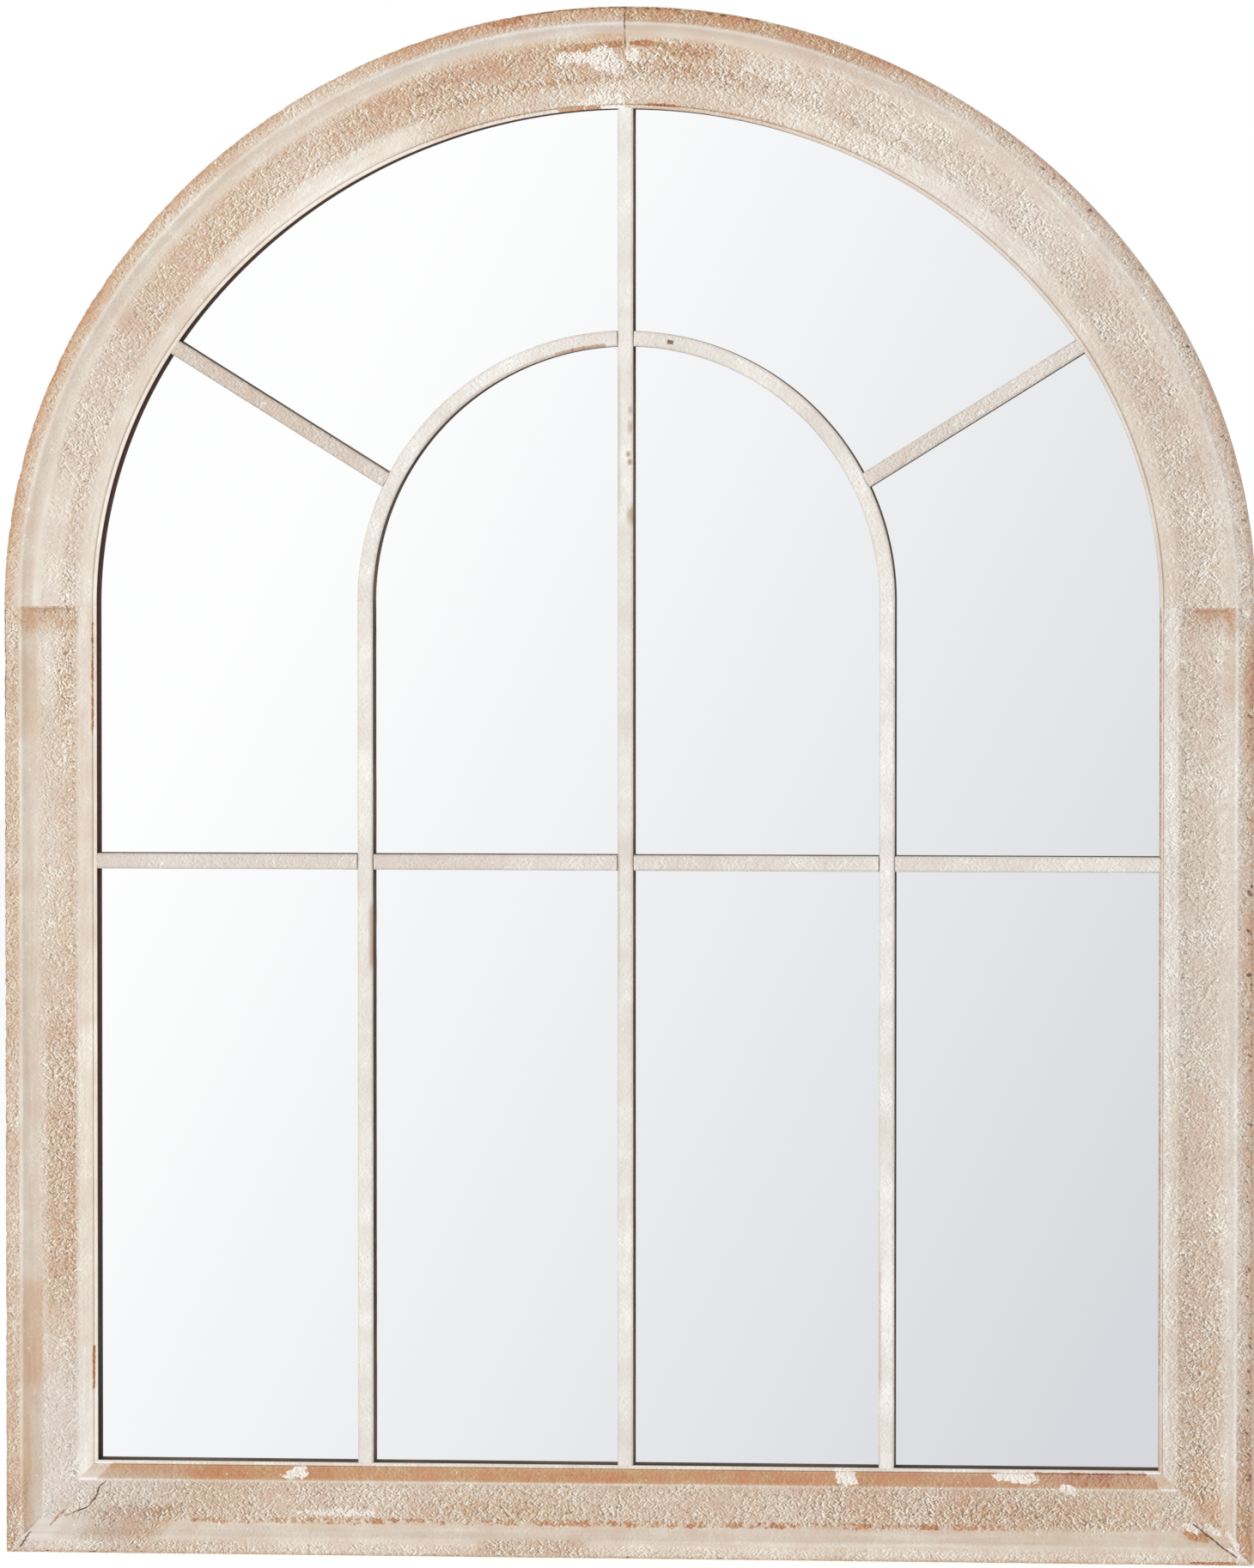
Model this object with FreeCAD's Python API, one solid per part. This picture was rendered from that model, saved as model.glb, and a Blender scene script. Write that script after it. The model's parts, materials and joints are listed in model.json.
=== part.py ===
"""Arched window mirror for a wall.

A moulded timber frame with an arched head holds one mirror plate, and a lattice of halved
glazing bars lies on the glass in front.  The back is closed by a board and carries two
swinging D-rings.  Millimetres.  +Z is up, the front looks towards -Y, and the origin is the
centre of the underside.  Heights called "level" are measured forwards from the back face.
"""
import FreeCAD, Part
import math
import os

Vec = FreeCAD.Vector

# ---------------------------------------------------------------- driving dimensions
WIDTH = 800.0                  # over the jambs
HEIGHT = 990.0                 # underside to the top of the arch
HAUNCH_CENTRE = 38.0           # middle line to the centre of a haunch arc of the head
CROWN_CENTRE_DROP = 26.1       # springing line down to the centre of the crown arc
DEPTH = 30.0                   # back face to the crest of the ridge

# moulding, measured inwards from the outline
FACE = 60.0                    # face width of the jambs and the bottom rail
OUTER_BAND = 9.0               # sloping band along the outline
RIDGE_WIDTH = 3.5              # rounded ridge inside the band
HOLLOW_WIDTH = 35.0            # the hollow between the ridge and the inner flat
HOLLOW_BANK = 8.0              # steep bank of the hollow beside the ridge
BANK_SAG = 1.2                 # how far the bank dips below a straight slope
HOLLOW_DISH = 0.9              # foot of the bank above the bottom of the hollow
OUTER_LEVEL = 27.5             # outer edge of the band
BAND_LEVEL = 29.0              # foot of the ridge
FLAT_LEVEL = 27.0              # inner flat, and the face of the glazing bars
HEAD_HOLLOW_LEVEL = 24.0       # bottom of the hollow in the arched head
JAMB_HOLLOW_LEVEL = 21.5       # deeper bottom of the hollow in jambs and rail
OUTER_ARRIS = 2.5              # rounding of the outermost edge

# sight edge, the opening in front of the glass: its arcs, as for the outline
SIGHT_HAUNCH_CENTRE = 44.0
SIGHT_CROWN_CENTRE_DROP = 35.6
BEAD_WIDTH = 2.2               # rounded bead along the sight edge
QUIRK_WIDTH = 0.9              # fine groove beside the bead
QUIRK_DEPTH = 0.8
BEAD_ROUND = 1.0

# glass and back
REBATE_WIDTH = 9.0             # how far the frame laps over the glass
GLASS_FRONT_LEVEL = 16.0
GLASS_THICKNESS = 4.0
CUSHION_THICKNESS = 1.0
BOARD_THICKNESS = 4.0
GLASS_GAP = 1.5                # glass edge to the rebate's wall
BOARD_GAP = 1.0                # backboard edge to the rebate's wall
BLOCK_LENGTH = 40.0            # setting blocks under the glass
BLOCK_SPACING = 400.0

# glazing bars
BAR_WIDTH = 10.0
BAR_CHAMFER = 1.2
HOUSING = 5.0                  # how far a bar's end is let into the frame
HOOP_HOUSING = 2.5             # how far a spoke's end is let into the hoop
JOINT_GAP = 0.1                # side clearance of the halved joints
SIDE_BAR_X = 167.0             # centre of a side bar
HOOP_LIFT = 4.0                # springing line to where the hoop stands on the side bars
TRANSOM_Z = 445.0              # middle of the transom
SPOKE_ANGLE = 32.0             # degrees above the horizontal
SPOKE_FOCUS_DROP = 19.0        # hoop's feet down to where the lines of the two spokes meet

# joints of the frame
DOWEL_RADIUS = 4.0
DOWEL_LENGTH = 40.0
DOWEL_END_GAP = 0.5
DOWEL_GAP = 0.1
DOWEL_LEVEL = 11.0
DOWEL_INSETS = (18.0, 38.0)    # from the outline
HOOP_DOWEL_RADIUS = 2.0
HOOP_DOWEL_LENGTH = 16.0
V_NAIL_INSETS = (17.0, 33.0)   # from the outline
V_NAIL_LEG = 7.0
V_NAIL_STEEL = 0.6
V_NAIL_HEIGHT = 10.0
V_NAIL_SUNK = 0.4              # driven below the back face

# tabs that hold the backboard
TAB_STEEL = 0.6
TAB_WIDTH = 8.0
TAB_LENGTH = 16.0
TAB_BITE = 6.0                 # driven into the rebate's wall
JAMB_TAB_COUNT = 3
RAIL_TAB_COUNT = 3
CROWN_TAB_COUNT = 3            # in each half of the head, besides one at the haunch

# hanging hardware
HANGER_RISE = 92.0             # springing line to the axis of the D-rings
STRAP_STEEL = 1.2
STRAP_WIDTH = 16.0
STRAP_LENGTH = 50.0            # ring axis to the strap's rounded foot
STRAP_CURL = 300.0             # degrees that the strap's end is curled
STRAP_HOLE_DROPS = (25.0, 41.0)
STRAP_HOLE_RADIUS = 2.1
RING_WIRE_RADIUS = 1.4
RING_RUNNING_GAP = 0.08
RING_BEND_RADIUS = 3.0
RING_BOW_RADIUS = 11.5         # centre line of the bow
RING_LEG = 1.5                 # straight leg between bend and bow
RING_BAR_GAP = 0.5             # straight bar past each side of the strap
RING_REST_TILT = 2.0           # degrees off plumb, resting clear of the strap
SCREW_RADIUS = 1.75
SCREW_LENGTH = 15.0
SCREW_GAP = 0.1
SCREW_HEAD_RADIUS = 3.7
SCREW_HEAD_HEIGHT = 2.2
SCREW_HEAD_ROUND = 0.9

# bumpers
BUMPER_RADIUS = 10.0
BUMPER_THICKNESS = 6.0
BUMPER_ROUND = 1.5
BUMPER_INSET_X = 80.0          # from the outside of the frame
BUMPER_Z = 25.0

PAST = 5.0                     # how far cutters run past what they cut
SAME = 1e-6                    # lengths closer than this are equal


class Arch:
    """Three-centred arch: a haunch arc beside each springing point and a crown arc between."""

    def __init__(self, half, haunch_centre, crown_centre_drop):
        self.half = half
        self.haunch_centre = haunch_centre
        self.drop = crown_centre_drop
        self.haunch_radius = half - haunch_centre
        self.crown_radius = self.haunch_radius + math.hypot(haunch_centre, crown_centre_drop)
        self.rise = self.crown_radius - crown_centre_drop
        self.join = math.degrees(math.atan2(crown_centre_drop, haunch_centre))

    def grown(self, offset):
        """The same arch moved outwards by an offset."""
        return Arch(self.half + offset, self.haunch_centre, self.drop)

    def half_width(self, above):
        """Half the width of the arch at a height above its springing line."""
        if above <= self.haunch_radius * math.sin(math.radians(self.join)):
            return self.haunch_centre + math.sqrt(self.haunch_radius ** 2 - above ** 2)
        return math.sqrt(self.crown_radius ** 2 - (above + self.drop) ** 2)


# ---------------------------------------------------------------- what follows from them
HALF = WIDTH / 2
SIGHT_HALF = HALF - FACE
OUTLINE = Arch(HALF, HAUNCH_CENTRE, CROWN_CENTRE_DROP)
SIGHT = Arch(SIGHT_HALF, SIGHT_HAUNCH_CENTRE, SIGHT_CROWN_CENTRE_DROP)
SPRING_Z = HEIGHT - OUTLINE.rise
SIGHT_Z = FACE
CROWN_FACE = OUTLINE.rise - SIGHT.rise
HOOP_SPRING_Z = SPRING_Z + HOOP_LIFT
HANGER_Z = SPRING_Z + HANGER_RISE
BACK_Y = DEPTH / 2
BAR_DEPTH = FLAT_LEVEL - GLASS_FRONT_LEVEL
BAR_MIDDLE_LEVEL = GLASS_FRONT_LEVEL + BAR_DEPTH / 2
GLASS_BACK_LEVEL = GLASS_FRONT_LEVEL - GLASS_THICKNESS
BOARD_FRONT_LEVEL = GLASS_BACK_LEVEL - CUSHION_THICKNESS
BOARD_BACK_LEVEL = BOARD_FRONT_LEVEL - BOARD_THICKNESS
HOLLOW_START = OUTER_BAND + RIDGE_WIDTH
HOLLOW_END = HOLLOW_START + HOLLOW_WIDTH
BLANK_WIDTH = max(FACE, CROWN_FACE) + 2 * REBATE_WIDTH   # before the opening is cut
RING_AXIS_Y = BACK_Y + STRAP_STEEL + RING_WIRE_RADIUS + RING_RUNNING_GAP


def y_at(level):
    """Y of a level, which is a distance forwards from the back face."""
    return BACK_Y - level


def block(x0, x1, level0, level1, z0, z1):
    """A box between two corners, its depth given as levels."""
    return Part.makeBox(x1 - x0, level1 - level0, z1 - z0, Vec(x0, y_at(level1), z0))


def arc(p, q, r):
    """An arc through three points."""
    return Part.Arc(p, q, r).toShape()


def mirrored(shape):
    """The left-hand copy of a right-hand piece."""
    return shape.mirror(Vec(0, 0, 0), Vec(1, 0, 0))


def polar(cx, cz, radius, degrees):
    """A point of the XZ plane, from a centre, a radius and an angle."""
    a = math.radians(degrees)
    return Vec(cx + radius * math.cos(a), 0, cz + radius * math.sin(a))


def rim(shape, y):
    """The edges of a shape that lie flat in the plane at y."""
    return [e for e in shape.Edges if max(abs(v - y) for v in (e.BoundBox.YMin, e.BoundBox.YMax)) < SAME]


# ---------------------------------------------------------------- plates with an arched top
def arched_face(offset):
    """A face inside the sight edge's outline, grown by an offset, in the plane Y = 0."""
    arch = SIGHT.grown(offset)
    half = arch.half
    foot = SIGHT_Z - offset
    right_join = polar(arch.haunch_centre, SPRING_Z, arch.haunch_radius, arch.join)
    left_join = Vec(-right_join.x, 0, right_join.z)
    right_middle = polar(arch.haunch_centre, SPRING_Z, arch.haunch_radius, arch.join / 2)
    left_middle = Vec(-right_middle.x, 0, right_middle.z)
    corners = [Vec(-half, 0, foot), Vec(half, 0, foot), Vec(half, 0, SPRING_Z)]
    edges = [
        Part.makeLine(corners[0], corners[1]),
        Part.makeLine(corners[1], corners[2]),
        arc(corners[2], right_middle, right_join),
        arc(right_join, Vec(0, 0, SPRING_Z + arch.rise), left_join),
        arc(left_join, left_middle, Vec(-half, 0, SPRING_Z)),
        Part.makeLine(Vec(-half, 0, SPRING_Z), corners[0]),
    ]
    return Part.Face(Part.Wire(edges))


def arched_plate(offset, level0, level1):
    """A flat plate with the sight edge's outline, grown by an offset, between two levels."""
    face = arched_face(offset)
    face.translate(Vec(0, y_at(level1), 0))
    return face.extrude(Vec(0, level1 - level0, 0))


# ---------------------------------------------------------------- moulding
def moulding_edges(point, hollow_level):
    """Edges of the moulding's section; point(inset, level) places a point of it."""
    ridge_crest = OUTER_BAND + RIDGE_WIDTH / 2
    floor_start = HOLLOW_START + HOLLOW_BANK
    floor_middle = (floor_start + HOLLOW_END) / 2
    foot_level = hollow_level + HOLLOW_DISH
    bank_middle = HOLLOW_START + HOLLOW_BANK / 2
    bank_level = (BAND_LEVEL + foot_level) / 2 - BANK_SAG
    arris_mid = OUTER_ARRIS * (1 - math.sqrt(0.5))
    p = point
    return [
        Part.makeLine(p(0, 0), p(0, OUTER_LEVEL - OUTER_ARRIS)),
        arc(p(0, OUTER_LEVEL - OUTER_ARRIS), p(arris_mid, OUTER_LEVEL - arris_mid),
            p(OUTER_ARRIS, OUTER_LEVEL)),
        Part.makeLine(p(OUTER_ARRIS, OUTER_LEVEL), p(OUTER_BAND, BAND_LEVEL)),
        arc(p(OUTER_BAND, BAND_LEVEL), p(ridge_crest, DEPTH), p(HOLLOW_START, BAND_LEVEL)),
        arc(p(HOLLOW_START, BAND_LEVEL), p(bank_middle, bank_level), p(floor_start, foot_level)),
        arc(p(floor_start, foot_level), p(floor_middle, hollow_level), p(HOLLOW_END, FLAT_LEVEL)),
        Part.makeLine(p(HOLLOW_END, FLAT_LEVEL), p(BLANK_WIDTH, FLAT_LEVEL)),
        Part.makeLine(p(BLANK_WIDTH, FLAT_LEVEL), p(BLANK_WIDTH, 0)),
        Part.makeLine(p(BLANK_WIDTH, 0), p(0, 0)),
    ]


def moulding_face(point, hollow_level):
    return Part.Face(Part.Wire(moulding_edges(point, hollow_level)))


def turned(face, cx, cz, start, sweep):
    """A face of the plane Z = cz turned about a centre: from start degrees, up by sweep."""
    solid = face.revolve(Vec(cx, 0, cz), Vec(0, -1, 0), sweep)
    solid.rotate(Vec(cx, 0, cz), Vec(0, -1, 0), start)
    return solid


def around_head(arch, face_at):
    """Haunch and crown runs of a section; face_at(radius, cx, cz) draws it to the right."""
    haunch_x = arch.haunch_centre
    crown_z = SPRING_Z - arch.drop
    low = turned(face_at(arch.haunch_radius, haunch_x, SPRING_Z), haunch_x, SPRING_Z, 0, arch.join)
    high = turned(face_at(arch.crown_radius, 0, crown_z), 0, crown_z, arch.join, 90 - arch.join)
    return low, high


def head_blank():
    """Right half of the arched head, before the opening is cut."""
    def section(radius, cx, cz):
        return moulding_face(lambda inset, level: Vec(cx + radius - inset, y_at(level), cz),
                             HEAD_HOLLOW_LEVEL)
    low, high = around_head(OUTLINE, section)
    return low.fuse(high).removeSplitter()


def jamb_blank():
    """Right jamb, before the opening is cut."""
    face = moulding_face(lambda inset, level: Vec(HALF - inset, y_at(level), 0), JAMB_HOLLOW_LEVEL)
    return face.extrude(Vec(0, 0, SPRING_Z))


def rail_blank():
    """Bottom rail, before the opening is cut."""
    face = moulding_face(lambda inset, level: Vec(-HALF, y_at(level), inset), JAMB_HOLLOW_LEVEL)
    return face.extrude(Vec(WIDTH, 0, 0))


def mitre_prism(above):
    """What lies above or below the mitre line of the right-hand corner."""
    reach = BLANK_WIDTH + PAST
    side = Vec(HALF + PAST, 0, reach) if above else Vec(HALF - reach, 0, -PAST)
    corners = [Vec(HALF + PAST, 0, -PAST), Vec(HALF - reach, 0, reach), side]
    face = Part.Face(Part.makePolygon(corners + corners[:1]))
    face.translate(Vec(0, y_at(DEPTH + PAST), 0))
    return face.extrude(Vec(0, DEPTH + 2 * PAST, 0))


# ---------------------------------------------------------------- bead along the sight edge
def bead_faces(point):
    """Sections cut away to leave the bead; point(outwards from the sight edge, level)."""
    p = point
    round_mid = BEAD_ROUND * (1 - math.sqrt(0.5))
    top = FLAT_LEVEL + PAST
    edge = Part.Face(Part.Wire([
        arc(p(0, FLAT_LEVEL - BEAD_ROUND), p(round_mid, FLAT_LEVEL - round_mid),
            p(BEAD_ROUND, FLAT_LEVEL)),
        Part.makeLine(p(BEAD_ROUND, FLAT_LEVEL), p(BEAD_ROUND, top)),
        Part.makeLine(p(BEAD_ROUND, top), p(-BEAD_ROUND, top)),
        Part.makeLine(p(-BEAD_ROUND, top), p(-BEAD_ROUND, FLAT_LEVEL - BEAD_ROUND)),
        Part.makeLine(p(-BEAD_ROUND, FLAT_LEVEL - BEAD_ROUND), p(0, FLAT_LEVEL - BEAD_ROUND)),
    ]))
    foot = BEAD_WIDTH + QUIRK_WIDTH / 2
    quirk = Part.Face(Part.makePolygon([
        p(BEAD_WIDTH, FLAT_LEVEL), p(foot, FLAT_LEVEL - QUIRK_DEPTH),
        p(BEAD_WIDTH + QUIRK_WIDTH, FLAT_LEVEL), p(BEAD_WIDTH + QUIRK_WIDTH, top),
        p(BEAD_WIDTH, top), p(BEAD_WIDTH, FLAT_LEVEL)]))
    return edge, quirk


def head_bead_cutters():
    cutters = []
    for index in (0, 1):
        def section(radius, cx, cz, index=index):
            faces = bead_faces(lambda out, level: Vec(cx + radius + out, y_at(level), cz))
            return faces[index]
        cutters.extend(around_head(SIGHT, section))
    return cutters


def jamb_bead_cutters():
    faces = bead_faces(lambda out, level: Vec(SIGHT_HALF + out, y_at(level), 0))
    return [face.extrude(Vec(0, 0, SPRING_Z)) for face in faces]


def rail_bead_cutters():
    faces = bead_faces(lambda out, level: Vec(-HALF, y_at(level), SIGHT_Z - out))
    return [face.extrude(Vec(WIDTH, 0, 0)) for face in faces]


# ---------------------------------------------------------------- glazing bars
def bar_section(x, z, across):
    """Section of a bar at a point, its width along the vector across, front face forwards."""
    side = BAR_WIDTH / 2
    shape = [(-side, GLASS_FRONT_LEVEL), (-side, FLAT_LEVEL - BAR_CHAMFER),
             (-side + BAR_CHAMFER, FLAT_LEVEL), (side - BAR_CHAMFER, FLAT_LEVEL),
             (side, FLAT_LEVEL - BAR_CHAMFER), (side, GLASS_FRONT_LEVEL)]
    points = [Vec(x, y_at(level), z) + across * s for s, level in shape]
    return Part.Face(Part.makePolygon(points + points[:1]))


def upright(x, z0, z1):
    return bar_section(x, z0, Vec(1, 0, 0)).extrude(Vec(0, 0, z1 - z0))


def upright_space(x, z0, z1, gap, level0, level1):
    """The room that an upright bar takes up, between two levels."""
    side = BAR_WIDTH / 2 + gap
    return block(x - side, x + side, level0, level1, z0, z1)


def transom():
    end = SIGHT_HALF + HOUSING
    return bar_section(-end, TRANSOM_Z, Vec(0, 0, 1)).extrude(Vec(2 * end, 0, 0))


def transom_space(gap, level0, level1):
    end = SIGHT_HALF + HOUSING
    side = BAR_WIDTH / 2 + gap
    return block(-end, end, level0, level1, TRANSOM_Z - side, TRANSOM_Z + side)


def hoop():
    return turned(bar_section(SIDE_BAR_X, HOOP_SPRING_Z, Vec(1, 0, 0)), 0, HOOP_SPRING_Z, 0, 180)


def hoop_space(gap, level0, level1):
    """The room that the hoop takes up, between two levels."""
    depth = level1 - level0
    centre = Vec(0, y_at(level1), HOOP_SPRING_Z)
    outer = Part.makeCylinder(SIDE_BAR_X + BAR_WIDTH / 2 + gap, depth, centre, Vec(0, 1, 0))
    inner = Part.makeCylinder(SIDE_BAR_X - BAR_WIDTH / 2 - gap, depth, centre, Vec(0, 1, 0))
    return outer.cut(inner)


def spoke_frame():
    """Direction, width vector, inner end and outer end of the right-hand spoke."""
    along = polar(0, 0, 1, SPOKE_ANGLE)
    across = Vec(-along.z, 0, along.x)
    focus = Vec(0, 0, HOOP_SPRING_Z - SPOKE_FOCUS_DROP)
    hoop_outside = SIDE_BAR_X + BAR_WIDTH / 2
    run = SPOKE_FOCUS_DROP * along.z
    to_hoop = run + math.sqrt(run ** 2 + hoop_outside ** 2 - SPOKE_FOCUS_DROP ** 2)
    ray = Part.makeLine(focus, focus + along * (WIDTH + HEIGHT))
    to_sight = ray.common(arched_face(0)).Length
    return along, across, focus + along * (to_hoop - HOOP_HOUSING), focus + along * (to_sight + HOUSING)


def spoke():
    along, across, inner, outer = spoke_frame()
    return bar_section(inner.x, inner.z, across).extrude(outer - inner)


def spoke_space(gap):
    """The room that the right-hand spoke takes up, square to its length."""
    along, across, inner, outer = spoke_frame()
    side = BAR_WIDTH / 2 + gap
    points = [inner - across * side, outer - across * side, outer + across * side, inner + across * side]
    face = Part.Face(Part.makePolygon(points + points[:1]))
    face.translate(Vec(0, y_at(FLAT_LEVEL + PAST), 0))
    return face.extrude(Vec(0, BAR_DEPTH + PAST, 0))


def uprights():
    """Where each upright bar stands: its middle, foot and top."""
    foot = SIGHT_Z - HOUSING
    crown = SPRING_Z + SIGHT.rise + HOUSING
    return [(-SIDE_BAR_X, foot, HOOP_SPRING_Z), (0, foot, crown), (SIDE_BAR_X, foot, HOOP_SPRING_Z)]


def lattice():
    """The glazing bars: uprights pass in front of transom and hoop, halved into them."""
    front = (BAR_MIDDLE_LEVEL, FLAT_LEVEL + PAST)
    back = (GLASS_FRONT_LEVEL - PAST, BAR_MIDDLE_LEVEL)
    _left, middle, right = uprights()
    peg_hole = hoop_peg(DOWEL_GAP, DOWEL_END_GAP)
    spoke_room = spoke_space(JOINT_GAP)
    centre = upright(*middle).cut([transom_space(JOINT_GAP, *back), hoop_space(JOINT_GAP, *back)])
    side = upright(*right).cut([transom_space(JOINT_GAP, *back), peg_hole])
    cross = transom().cut([upright_space(*place, JOINT_GAP, *front) for place in uprights()])
    ring = hoop().cut([upright_space(*middle, JOINT_GAP, *front), spoke_room, mirrored(spoke_room),
                       peg_hole, mirrored(peg_hole)])
    arm = spoke()
    return {"centre_bar": centre, "side_bar_right": side, "side_bar_left": mirrored(side),
            "transom_bar": cross, "hoop_arch": ring, "spoke_right": arm, "spoke_left": mirrored(arm)}


def bar_housings():
    """What the bars' ends take out of the frame members."""
    levels = (GLASS_FRONT_LEVEL - PAST, FLAT_LEVEL + PAST)
    room = spoke_space(0)
    cuts = [upright_space(*place, 0, *levels) for place in uprights()]
    return cuts + [transom_space(0, *levels), room, mirrored(room)]


# ---------------------------------------------------------------- pegs, nails and tabs
def peg(x, level, z, axis, radius, length):
    """A round peg centred on a point."""
    axis = Vec(*axis)
    start = Vec(x, y_at(level), z) - axis * (length / 2)
    return Part.makeCylinder(radius, length, start, axis)


def hoop_peg(gap, end_gap):
    return peg(SIDE_BAR_X, BAR_MIDDLE_LEVEL, HOOP_SPRING_Z, (0, 0, 1),
               HOOP_DOWEL_RADIUS + gap, HOOP_DOWEL_LENGTH + 2 * end_gap)


def spring_pegs(gap, end_gap):
    """Pegs between the right jamb and the head."""
    return [peg(HALF - inset, DOWEL_LEVEL, SPRING_Z, (0, 0, 1),
                DOWEL_RADIUS + gap, DOWEL_LENGTH + 2 * end_gap) for inset in DOWEL_INSETS]


def apex_pegs(gap, end_gap):
    """Pegs between the two halves of the head."""
    return [peg(0, DOWEL_LEVEL, HEIGHT - inset, (1, 0, 0),
                DOWEL_RADIUS + gap, DOWEL_LENGTH + 2 * end_gap) for inset in DOWEL_INSETS]


def v_nail(inset):
    """A bent steel nail across the right-hand mitre, driven in from the back."""
    corner = Vec(HALF - inset, 0, inset)
    steel = V_NAIL_STEEL
    legs = [(0, 0), (V_NAIL_LEG, 0), (V_NAIL_LEG, steel), (steel, steel), (steel, V_NAIL_LEG),
            (0, V_NAIL_LEG)]
    points = [corner + Vec(-a, 0, b) for a, b in legs]
    face = Part.Face(Part.makePolygon(points + points[:1]))
    face.translate(Vec(0, y_at(V_NAIL_SUNK + V_NAIL_HEIGHT), 0))
    return face.extrude(Vec(0, V_NAIL_HEIGHT, 0))


def v_nail_slot(inset):
    """The nail's own shape, run out through the back face."""
    nail = v_nail(inset)
    open_end = nail.copy()
    open_end.translate(Vec(0, V_NAIL_SUNK, 0))
    return nail.fuse(open_end)


def tab_at(cx, cz, radius, degrees):
    """A backboard tab on the rebate's wall, at an angle about a centre."""
    level0 = BOARD_BACK_LEVEL - TAB_STEEL
    tab = block(radius + TAB_BITE - TAB_LENGTH, radius + TAB_BITE, level0, BOARD_BACK_LEVEL,
                -TAB_WIDTH / 2, TAB_WIDTH / 2)
    tab.rotate(Vec(0, 0, 0), Vec(0, -1, 0), degrees)
    tab.translate(Vec(cx, 0, cz))
    return tab


def spread(low, high, count):
    """Evenly spaced places between two limits, half a space in from each."""
    step = (high - low) / count
    return [low + step * (i + 0.5) for i in range(count)]


def jamb_tabs():
    reach = SIGHT_HALF + REBATE_WIDTH
    return [tab_at(0, z, reach, 0) for z in spread(SIGHT_Z, SPRING_Z, JAMB_TAB_COUNT)]


def rail_tabs():
    wall = SIGHT_Z - REBATE_WIDTH
    return [tab_at(x, 0, -wall, -90) for x in spread(-SIGHT_HALF, SIGHT_HALF, RAIL_TAB_COUNT)]


def head_tabs():
    arch = SIGHT.grown(REBATE_WIDTH)
    tabs = [tab_at(arch.haunch_centre, SPRING_Z, arch.haunch_radius, arch.join / 2)]
    for angle in spread(arch.join, 90, CROWN_TAB_COUNT):
        tabs.append(tab_at(0, SPRING_Z - arch.drop, arch.crown_radius, angle))
    return tabs


# ---------------------------------------------------------------- hanging hardware
def hanger_x():
    """Middle of the flat back of the head, level with the middle of the strap."""
    above = HANGER_RISE - STRAP_LENGTH / 2
    return (OUTLINE.half_width(above) + SIGHT.grown(REBATE_WIDTH).half_width(above)) / 2


def strap():
    """Right-hand strap: a leaf on the wood whose upper end is curled round the ring's bar."""
    x = hanger_x()
    side = STRAP_WIDTH / 2
    inner = RING_WIRE_RADIUS + RING_RUNNING_GAP
    foot_z = HANGER_Z - STRAP_LENGTH + side
    leaf = Part.makeBox(STRAP_WIDTH, STRAP_STEEL, HANGER_Z - foot_z, Vec(x - side, BACK_Y, foot_z))
    leaf = leaf.fuse(Part.makeCylinder(side, STRAP_STEEL, Vec(x, BACK_Y, foot_z), Vec(0, 1, 0)))
    for drop in STRAP_HOLE_DROPS:
        start = Vec(x, BACK_Y - PAST, HANGER_Z - drop)
        leaf = leaf.cut(Part.makeCylinder(STRAP_HOLE_RADIUS, STRAP_STEEL + 2 * PAST, start, Vec(0, 1, 0)))
    end = Part.makePlane(STRAP_WIDTH, STRAP_STEEL, Vec(x - side, RING_AXIS_Y - inner, HANGER_Z),
                         Vec(0, 0, -1), Vec(1, 0, 0))
    curl = end.revolve(Vec(x, RING_AXIS_Y, HANGER_Z), Vec(-1, 0, 0), STRAP_CURL)
    return leaf.fuse(curl).removeSplitter()


def d_ring():
    """Right-hand D-ring, hanging: a straight bar in the curl, two legs and a round bow."""
    x = hanger_x()
    wire = RING_WIRE_RADIUS
    bar_half = STRAP_WIDTH / 2 + RING_BAR_GAP
    leg_x = bar_half + RING_BEND_RADIUS
    bow_z = -RING_BEND_RADIUS - RING_LEG
    pieces = [Part.makeCylinder(wire, 2 * bar_half, Vec(-bar_half, 0, 0), Vec(1, 0, 0))]
    for side in (-1, 1):
        section = Part.Face(Part.Wire(Part.makeCircle(wire, Vec(side * bar_half, 0, 0), Vec(1, 0, 0))))
        centre = Vec(side * bar_half, 0, -RING_BEND_RADIUS)
        pieces.append(section.revolve(centre, Vec(0, side, 0), 90))
        pieces.append(Part.makeCylinder(wire, RING_LEG, Vec(side * leg_x, 0, -RING_BEND_RADIUS),
                                        Vec(0, 0, -1)))
    section = Part.Face(Part.Wire(Part.makeCircle(wire, Vec(leg_x, 0, bow_z), Vec(0, 0, 1))))
    pieces.append(section.revolve(Vec(0, 0, bow_z), Vec(0, 1, 0), 180))
    ring = pieces[0].multiFuse(pieces[1:]).removeSplitter()
    ring.rotate(Vec(0, 0, 0), Vec(1, 0, 0), RING_REST_TILT)
    ring.translate(Vec(x, RING_AXIS_Y, HANGER_Z))
    return ring


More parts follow.
